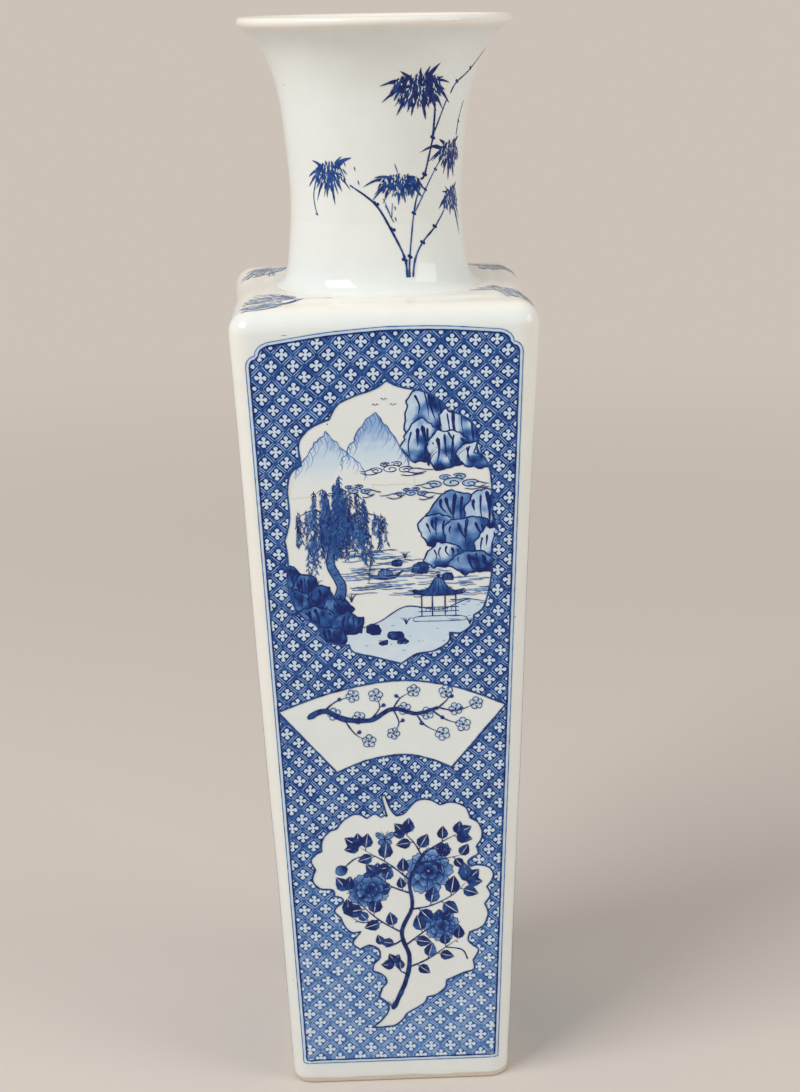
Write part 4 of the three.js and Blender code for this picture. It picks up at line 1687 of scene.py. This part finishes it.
# Size of the ground's faces, and the insets of the rows of points that follow its border
GROUND_GRAIN = 4.5
GROUND_ROWS = (3.0, 4.1, 5.2, 6.3, 7.6)

# What the neck and the shoulder add to the seed
NECK_SEED, SHOULDER_SEED = 20, 30


class VASE_OT_grounds(bpy.types.Operator):
    """Lay the diamond ground on the four walls, open at the panels"""
    bl_idname = "vase.grounds"
    bl_label = "Diamond grounds"

    def execute(self, context):
        for turn, name in enumerate(WALLS):
            ground = Painting(turn)
            sideways = turn % 2 == 1
            rings = panel_rings(sideways, turn > 1)
            rows = [spot for inset in GROUND_ROWS for spot in wall_border(inset, sideways)]
            spots, faces, _ = filled(wall_border(BAND, sideways), GROUND_GRAIN, rings, rows)
            ground.add(spots, [0] * len(spots), faces, WASH)
            ground.lifts = [GROUND_LIFT] * len(spots)
            ground.lay(name.replace("_wall", "_ground"), on_wall(turn), surfaces["body"],
                       "painted_porcelain", "ground")
        return {"FINISHED"}


def panel_places(sideways):
    """Where each panel stands on a wall and at what scale: garden, fan and leaf."""
    if sideways:
        return ((0, 98), 0.84), (FAN_MIDDLE, SIDE_SHARE), ((-3, 330), 1.0)
    return (GARDEN_MIDDLE, 1.0), (FAN_MIDDLE, 1.0), (LEAF_MIDDLE, 1.0)


def panel_rings(sideways, mirrored):
    """The outlines of the three panels of a wall."""
    outlines = [closed_outline(sides, OUTLINE_STEP) for sides in (GARDEN_LOBES, FAN_SIDES, LEAF_LOBES)]
    middles = (GARDEN_MIDDLE, FAN_MIDDLE, LEAF_MIDDLE)
    side = -1 if mirrored else 1
    return [[(side * (x - mx) * scale + px, (y - my) * scale + py) for x, y in ring]
            for ring, (mx, my), ((px, py), scale) in zip(outlines, middles, panel_places(sideways))]


def draw_borders(painting, rings, width, sideways):
    """The two lines round the painted wall, with a pale band between them, and one round each panel."""
    lines = ((BAND / 2, BAND, 0.16, WASH), (0, 0.5, 0.56, BODY), (BAND, 0.9, 0.9, BODY))
    for inset, line, ink, layer in lines:
        painting.outline(wall_border(inset, sideways), line, ink, layer, 2.5)
    for ring in rings:
        painting.outline(ring, width, 0.84, ACCENT, OUTLINE_STEP)


class VASE_OT_paintings(bpy.types.Operator):
    """Paint the borders and the panels of the four walls"""
    bl_idname = "vase.paintings"
    bl_label = "Wall paintings"

    def execute(self, context):
        pattern = context.scene.vase_pattern
        for turn, name in enumerate(WALLS):
            painting = Painting(pattern.seed + turn)
            sideways, mirrored = turn % 2 == 1, turn > 1
            rings = panel_rings(sideways, mirrored)
            for paint, ring, (middle, scale) in zip(PANEL_PAINTERS, rings, panel_places(sideways)):
                painting.stand_at(middle, scale, mirrored, ring)
                paint(painting)
            painting.stand_at((0, 0))
            draw_borders(painting, rings, pattern.outline_width / MM, sideways)
            painting.lay(name.replace("_wall", "_painting"), on_wall(turn), surfaces["body"],
                         "painted_porcelain")
        return {"FINISHED"}


# Millimetres across the neck's painting for each degree round the neck
PER_DEGREE = NECK_SHEET_RADIUS * math.pi / 180


def bamboo_leaves(brush, x, y, tips, dabs, spread, ink):
    """A cluster of bamboo: long leaves that droop to the given tips over a heap of short dabs."""
    rng = brush.random
    for dx, dy, width in tips:
        for share, swing in ((1.0, 0.0), (0.72, 0.28)):
            ex, ey = share * (dx - swing * dy), share * (dy + swing * dx)
            root = (x + 0.2 * ex + rng.uniform(-2, 2), y + 0.1 * ey + rng.uniform(0, 1.8))
            middle = (x + 0.6 * ex, y + 0.5 * ey + 0.14 * abs(ex))
            brush.stroke((root, middle, (x + ex, y + ey)), 0.85 * share * width, ink, BODY, pressed, 0.9)
    wide, tall = spread
    for order in range(dabs + dabs // 3):
        a, r = rng.uniform(0, 6.3), rng.uniform(0, 1) ** 0.5
        px, py = x + wide * r * math.cos(a), y + tall * r * math.sin(a) + 1.0
        fall = rng.uniform(2.2, 5.0)
        lean = 0.6 * (px - x) / wide + rng.uniform(-0.35, 0.35)
        path = ((px, py), (px + 0.5 * lean * fall, py - 0.5 * fall), (px + lean * fall, py - fall))
        if order < dabs:
            brush.stroke(path, rng.uniform(0.85, 1.6), ink * rng.uniform(0.85, 1.08), LINE, pressed, 0.9)
        else:
            brush.stroke(path[:2], rng.uniform(0.35, 0.7), 0.04, ACCENT, pressed, 0.7)


def bamboo_cane(brush, path, width, ink, knots=()):
    """A cane of bamboo with a pair of dots at each knot. path and knots are in degrees and height."""
    spots = [(PER_DEGREE * angle, z) for angle, z in path]
    brush.stroke(spots, 1.15 * width, ink, BODY, lambda t: 1 - 0.35 * t)
    for angle, z in knots:
        for side, drop in ((-0.75, 0.4), (0.75, -0.35)):
            brush.blob(PER_DEGREE * angle + side * width, z + drop, 0.6 * width + 0.2, 1.0, ACCENT)


def paint_neck(brush):
    """Bamboo that rises from the front right of the neck's foot."""
    canes = (
        (((17.6, 450.4), (16.7, 459.9), (9.3, 473.2), (-1.3, 487.3), (-17.3, 496.8)), 1.15, 0.86,
         ((16.6, 459), (9.6, 474.6), (-0.6, 487.6))),
        (((19, 450.4), (20.1, 460.8), (24, 481.1)), 0.95, 0.85, ((20.1, 460.6),)),
        (((24, 481.1), (26.3, 489), (29.3, 494.8)), 0.9, 0.85, ((24.2, 482),)),
        (((24, 481.1), (30, 489), (38, 500), (46, 509)), 0.7, 0.7, ((33, 493.4), (41, 503))),
        (((29.3, 499), (32.4, 501.1), (37.4, 518.2), (38.6, 524)), 1.1, 0.98, ((32.2, 501), (37.4, 519))),
        (((37.4, 519), (37.9, 530), (37, 538)), 1.2, 0.9),
        (((38.6, 522), (43.4, 531), (46.5, 537)), 0.8, 0.8),
        (((21.2, 450.4), (24, 460), (30.2, 467.7), (40.5, 474.6), (49.5, 482)), 1.05, 0.82,
         ((29.6, 467.2), (40, 474.6))),
        (((49.2, 540.2), (53.1, 545.4), (64.7, 551.4), (79.8, 561.7)), 0.8, 0.9, ((53.3, 546), (65, 552))),
        (((60.5, 519), (62, 527), (66, 536)), 0.55, 0.9, ((62, 526),)),
        (((-43, 498), (-45.6, 491), (-44.2, 484), (-42.2, 481.3), (-44.6, 482)), 0.6, 0.8),
        (((10.4, 478), (5.2, 486.4)), 0.45, 0.72),
        (((9.2, 480.5), (9.9, 487.6)), 0.45, 0.72),
        (((8, 482.6), (4, 489.8)), 0.45, 0.72),
    )
    for cane in canes:
        bamboo_cane(brush, *cane)
    for angle, z in ((11.6, 485), (11.8, 479.5), (-13.7, 505), (-11.6, 498), (-20, 507)):
        x = PER_DEGREE * angle
        brush.stroke(((x - 0.3, z + 1.2), (x + 0.3, z - 1.2)), 0.7, 0.85, LINE, pressed)
    clusters = (
        (25.2, 543.4, 130, (12.5, 7.4), 0.98, (
            (-19.5, 1.5, 2.4), (-18.5, -6.5, 2.0), (-11, -13, 2.6), (-3, -13.3, 2.8), (5.5, -15.5, 2.8),
            (12, -11.5, 2.2), (21, -8, 2.4), (19, 2, 1.8), (10, 12, 2.8), (7, 9, 2.4), (-10, 8.6, 2.4),
            (-5, -11, 2.2), (16.5, -11, 2.0), (0, 10, 2.2), (14, 5, 1.8))),
        (-32, 502.4, 74, (9.5, 5.8), 0.84, (
            (-11, 6.2, 2.2), (14.5, 8, 2.8), (-15, -2.2, 1.9), (-15.5, -7.2, 1.8), (-9.3, -14, 1.4),
            (-1.9, -12, 2.0), (3.3, -15.6, 2.0), (13, -8, 1.6), (1.1, 6.4, 1.6), (8, -9, 1.6))),
        (15.2, 496.8, 90, (11.0, 4.6), 0.88, (
            (-21, -1, 1.8), (-14.6, 3.6, 2.2), (-16.6, -8.6, 1.6), (-8.7, -6.5, 2.0), (-1.2, -10.4, 2.2),
            (7, -6, 1.8), (14, -7.5, 1.5), (12, 1.8, 2.8), (5, 5.2, 2.2), (3, -9.5, 1.6))),
        (53.9, 510.9, 75, (8.5, 5.6), 0.98, (
            (-22.5, 1, 2.1), (-14, -3.6, 1.7), (-9.6, 7, 2.2), (8.3, 7.8, 2.2), (0, -14, 2.0),
            (-4.8, -11, 1.6), (6, -13, 1.8), (10, -5, 1.6))),
        (57.9, 488.0, 60, (7.0, 5.4), 0.92, (
            (-12, -5.2, 1.8), (-8.8, 3.6, 1.7), (-1.4, -9, 1.8), (6.3, 7.4, 2.0), (9.5, -20, 1.5),
            (8.6, -2, 1.6), (-6, 6, 1.5))),
    )
    for angle, z, dabs, spread, ink, tips in clusters:
        bamboo_leaves(brush, PER_DEGREE * angle, z, tips, dabs, spread, ink)
    for dx, z in ((-2.6, 507.2), (-0.9, 503)):
        brush.stroke(((12, 502), (12.6 + dx, z)), 0.45, 0.75)


class VASE_OT_bamboo(bpy.types.Operator):
    """Paint the bamboo on the neck"""
    bl_idname = "vase.bamboo"
    bl_label = "Bamboo on the neck"

    def execute(self, context):
        painting = Painting(context.scene.vase_pattern.seed + NECK_SEED)
        paint_neck(painting)
        painting.lay("neck_bamboo", on_neck, surfaces["neck"], "white_porcelain")
        return {"FINISHED"}


def sketchy_spray(brush, path, breadth, blades):
    """A loose bundle of long leaves in outline, broad at its root and drawn in towards its tip."""
    rng = brush.random
    line = curve_through(path, 1.0)

    def at(share, off):
        i = min(round(share * len(line)), len(line) - 2)
        (x0, y0), (x1, y1) = line[i], line[i + 1]
        off *= breadth * (1 - 0.9 * share) / math.dist(line[i], line[i + 1])
        return x0 - (y1 - y0) * off, y0 + (x1 - x0) * off

    for _ in range(blades):
        start, off = rng.uniform(0, 0.5), rng.uniform(-0.5, 0.5)
        end = at(start + rng.uniform(0.25, 0.5), off + rng.uniform(-0.2, 0.2))
        blade = lens(at(start, off), end, rng.uniform(2.0, 5.0))
        brush.wash(blade, rng.choice((0.02, 0.02, 0.09, 0.2)), TONE, 1.8, 0.05)
        brush.outline(blade, 0.33, rng.uniform(0.4, 0.75))
    for order in range(3 * blades):
        start, off = rng.uniform(0, 0.6), rng.uniform(-0.5, 0.5)
        dash = (at(start, off), at(start + 0.12, off + rng.uniform(-0.1, 0.1)), at(start + 0.25, 0.8 * off))
        ink = 0.03 if order % 3 == 0 else rng.uniform(0.4, 0.85)
        brush.stroke(dash, rng.uniform(0.4, 0.75), ink, ACCENT, flicked)


class VASE_OT_sprays(bpy.types.Operator):
    """Paint a spray of leaves on each corner of the shoulder"""
    bl_idname = "vase.sprays"
    bl_label = "Sprays on the shoulder"

    def execute(self, context):
        painting = Painting(context.scene.vase_pattern.seed + SHOULDER_SEED)
        reach = half_width(SHOULDER_HIGH.z) / MM - 1.5
        painting.stand_at((0, 0), edge=[(-reach, -reach), (reach, -reach), (reach, reach), (-reach, reach)])
        for spray in (
                (((-71, -50), (-56, -53), (-41, -57)), 46, 19), (((72, -60), (61, -28), (43, -44)), 22, 15),
                (((-73, 34), (-64, 52), (-48, 64)), 32, 15), (((69, 42), (60, 52), (48, 55)), 30, 13)):
            sketchy_spray(painting, *spray)
        tip = lens((-55, -61), (-40, -56), 5.0)
        painting.wash(tip, 0.03, LINE, 1.8, 0.05)
        painting.outline(tip, 0.45, 0.7, ACCENT)
        painting.stroke(((-56, -62), (-48, -60.5), (-40.5, -56.6)), 0.9, 0.85, ACCENT)
        painting.stroke(((-41, -55.5), (-33, -55.6), (-25, -57)), 0.4, 0.6, ACCENT)
        painting.lay("shoulder_sprays", on_shoulder, surfaces["body"], "white_porcelain")
        return {"FINISHED"}


def shows_surroundings(tree):
    """1 for rays that show the surroundings: from the lens, or by way of gloss or glass."""
    path = tree.nodes.new("ShaderNodeLightPath")
    shown = maths(tree, "MAXIMUM", path.outputs["Is Camera Ray"], path.outputs["Is Glossy Ray"])
    return maths(tree, "MAXIMUM", shown, path.outputs["Is Transmission Ray"])


def surface_of(tree, end, share, plain, shown):
    """Give the tree's end node one shader, and another by its share."""
    mixed = node(tree, "ShaderNodeMixShader", {"Fac": share})
    tree.links.new(plain.outputs[0], mixed.inputs[1])
    tree.links.new(shown.outputs[0], mixed.inputs[2])
    tree.links.new(mixed.outputs[0], tree.nodes[end].inputs["Surface"])


def floor_material(stage):
    """A pale floor that takes the vase's shadow and runs out into the plain backdrop's colour."""
    material, tree, shader = new_material("pale_floor", 0.9)
    shader.inputs["Base Color"].default_value = (*stage.floor, 1)
    place = node(tree, "ShaderNodeTexCoord").outputs["Object"]
    far = above(tree, vector_maths(tree, "LENGTH", place), 1.3, 1.1)
    backdrop = node(tree, "ShaderNodeEmission", {"Color": (*stage.backdrop, 1), "Strength": 1.0})
    seen = maths(tree, "MULTIPLY", far, shows_surroundings(tree))
    surface_of(tree, "Material Output", seen, shader, backdrop)
    return material


def room_light(stage):
    """A world that lights evenly and is seen as the plain backdrop."""
    world = bpy.data.worlds.new("soft_room")
    world.use_nodes = True
    tree = world.node_tree
    lit = tree.nodes["Background"]
    lit.inputs["Color"].default_value = (1.0, 0.985, 0.965, 1)
    lit.inputs["Strength"].default_value = stage.room_strength
    seen = node(tree, "ShaderNodeBackground", {"Color": (*stage.backdrop, 1), "Strength": 1.0})
    surface_of(tree, "World Output", shows_surroundings(tree), lit, seen)
    return world


# Each lamp's place, size and share of the window's power, and the point that both face
LAMPS = {
    "window": ((-1.45, -1.0, 1.9), (1.3, 1.1), 1.0),
    "far_window": ((1.95, -0.95, 1.12), (1.1, 1.1), 0.42),
}
LAMP_AIM = Vector((0, 0, 0.3))
FLOOR_WIDTH = 40
SENSOR_HEIGHT = 24


class VASE_OT_stage(bpy.types.Operator):
    """Set the floor, the lamps and the camera"""
    bl_idname = "vase.stage"
    bl_label = "Stage"

    def execute(self, context):
        stage = context.scene.vase_stage
        deselect_all()
        bpy.ops.mesh.primitive_plane_add(size=FLOOR_WIDTH, location=(0, 0, 0))
        floor = context.object
        floor.name = "floor"
        floor.data.materials.append(floor_material(stage))

        context.scene.world = room_light(stage)
        for name, (place, size, share) in LAMPS.items():
            lamp = bpy.data.lights.new(name, "AREA")
            lamp.shape = "RECTANGLE"
            lamp.size, lamp.size_y = size
            lamp.energy = share * stage.window_power
            holder = bpy.data.objects.new(name, lamp)
            holder.location = place
            aim = LAMP_AIM - holder.location
            holder.rotation_euler = aim.to_track_quat("-Z", "Y").to_euler()
            context.collection.objects.link(holder)

        camera = bpy.data.cameras.new("camera")
        camera.sensor_fit = "VERTICAL"
        camera.sensor_height = SENSOR_HEIGHT
        camera.lens = stage.focal_pixels / PHOTO_HEIGHT * SENSOR_HEIGHT
        camera.shift_x = -stage.shift_pixels / PHOTO_HEIGHT
        camera_object = bpy.data.objects.new("camera", camera)
        turn = (Matrix.Rotation(-stage.camera_pan, 4, "Z")
                @ Matrix.Rotation(math.pi / 2 - stage.camera_pitch, 4, "X")
                @ Matrix.Rotation(stage.camera_roll, 4, "Z"))
        place = Matrix.Translation((stage.camera_side, -stage.camera_distance, stage.camera_height))
        camera_object.matrix_world = place @ turn
        context.collection.objects.link(camera_object)
        context.scene.camera = camera_object
        context.scene.view_settings.view_transform = "Standard"
        return {"FINISHED"}


class VASE_PT_panel(bpy.types.Panel):
    """Lists the vase's parts"""
    bl_idname = "VASE_PT_panel"
    bl_label = "Square mallet vase"
    bl_space_type = "VIEW_3D"
    bl_region_type = "UI"
    bl_category = "Vase"

    def draw(self, context):
        for operator in OPERATORS:
            self.layout.operator(operator.bl_idname)


OPERATORS = (VASE_OT_glazes, VASE_OT_body, VASE_OT_neck, VASE_OT_inside, VASE_OT_grounds,
             VASE_OT_paintings, VASE_OT_bamboo, VASE_OT_sprays, VASE_OT_stage)
GROUPS = (("vase_body", VaseBody), ("vase_neck", VaseNeck), ("vase_colours", VaseColours),
          ("vase_pattern", VasePattern), ("vase_stage", VaseStage))


def register():
    for name, group in GROUPS:
        bpy.utils.register_class(group)
        setattr(bpy.types.Scene, name, bpy.props.PointerProperty(type=group))
    for each in (*OPERATORS, VASE_PT_panel):
        bpy.utils.register_class(each)


def unregister():
    for each in (VASE_PT_panel, *reversed(OPERATORS)):
        bpy.utils.unregister_class(each)
    for name, group in reversed(GROUPS):
        delattr(bpy.types.Scene, name)
        bpy.utils.unregister_class(group)


def main():
    register()
    bpy.ops.vase.glazes()
    bpy.ops.vase.body()
    bpy.ops.vase.neck()
    bpy.ops.vase.inside()
    bpy.ops.vase.grounds()
    bpy.ops.vase.paintings()
    bpy.ops.vase.bamboo()
    bpy.ops.vase.sprays()
    bpy.ops.vase.stage()


if __name__ == "__main__":
    main()
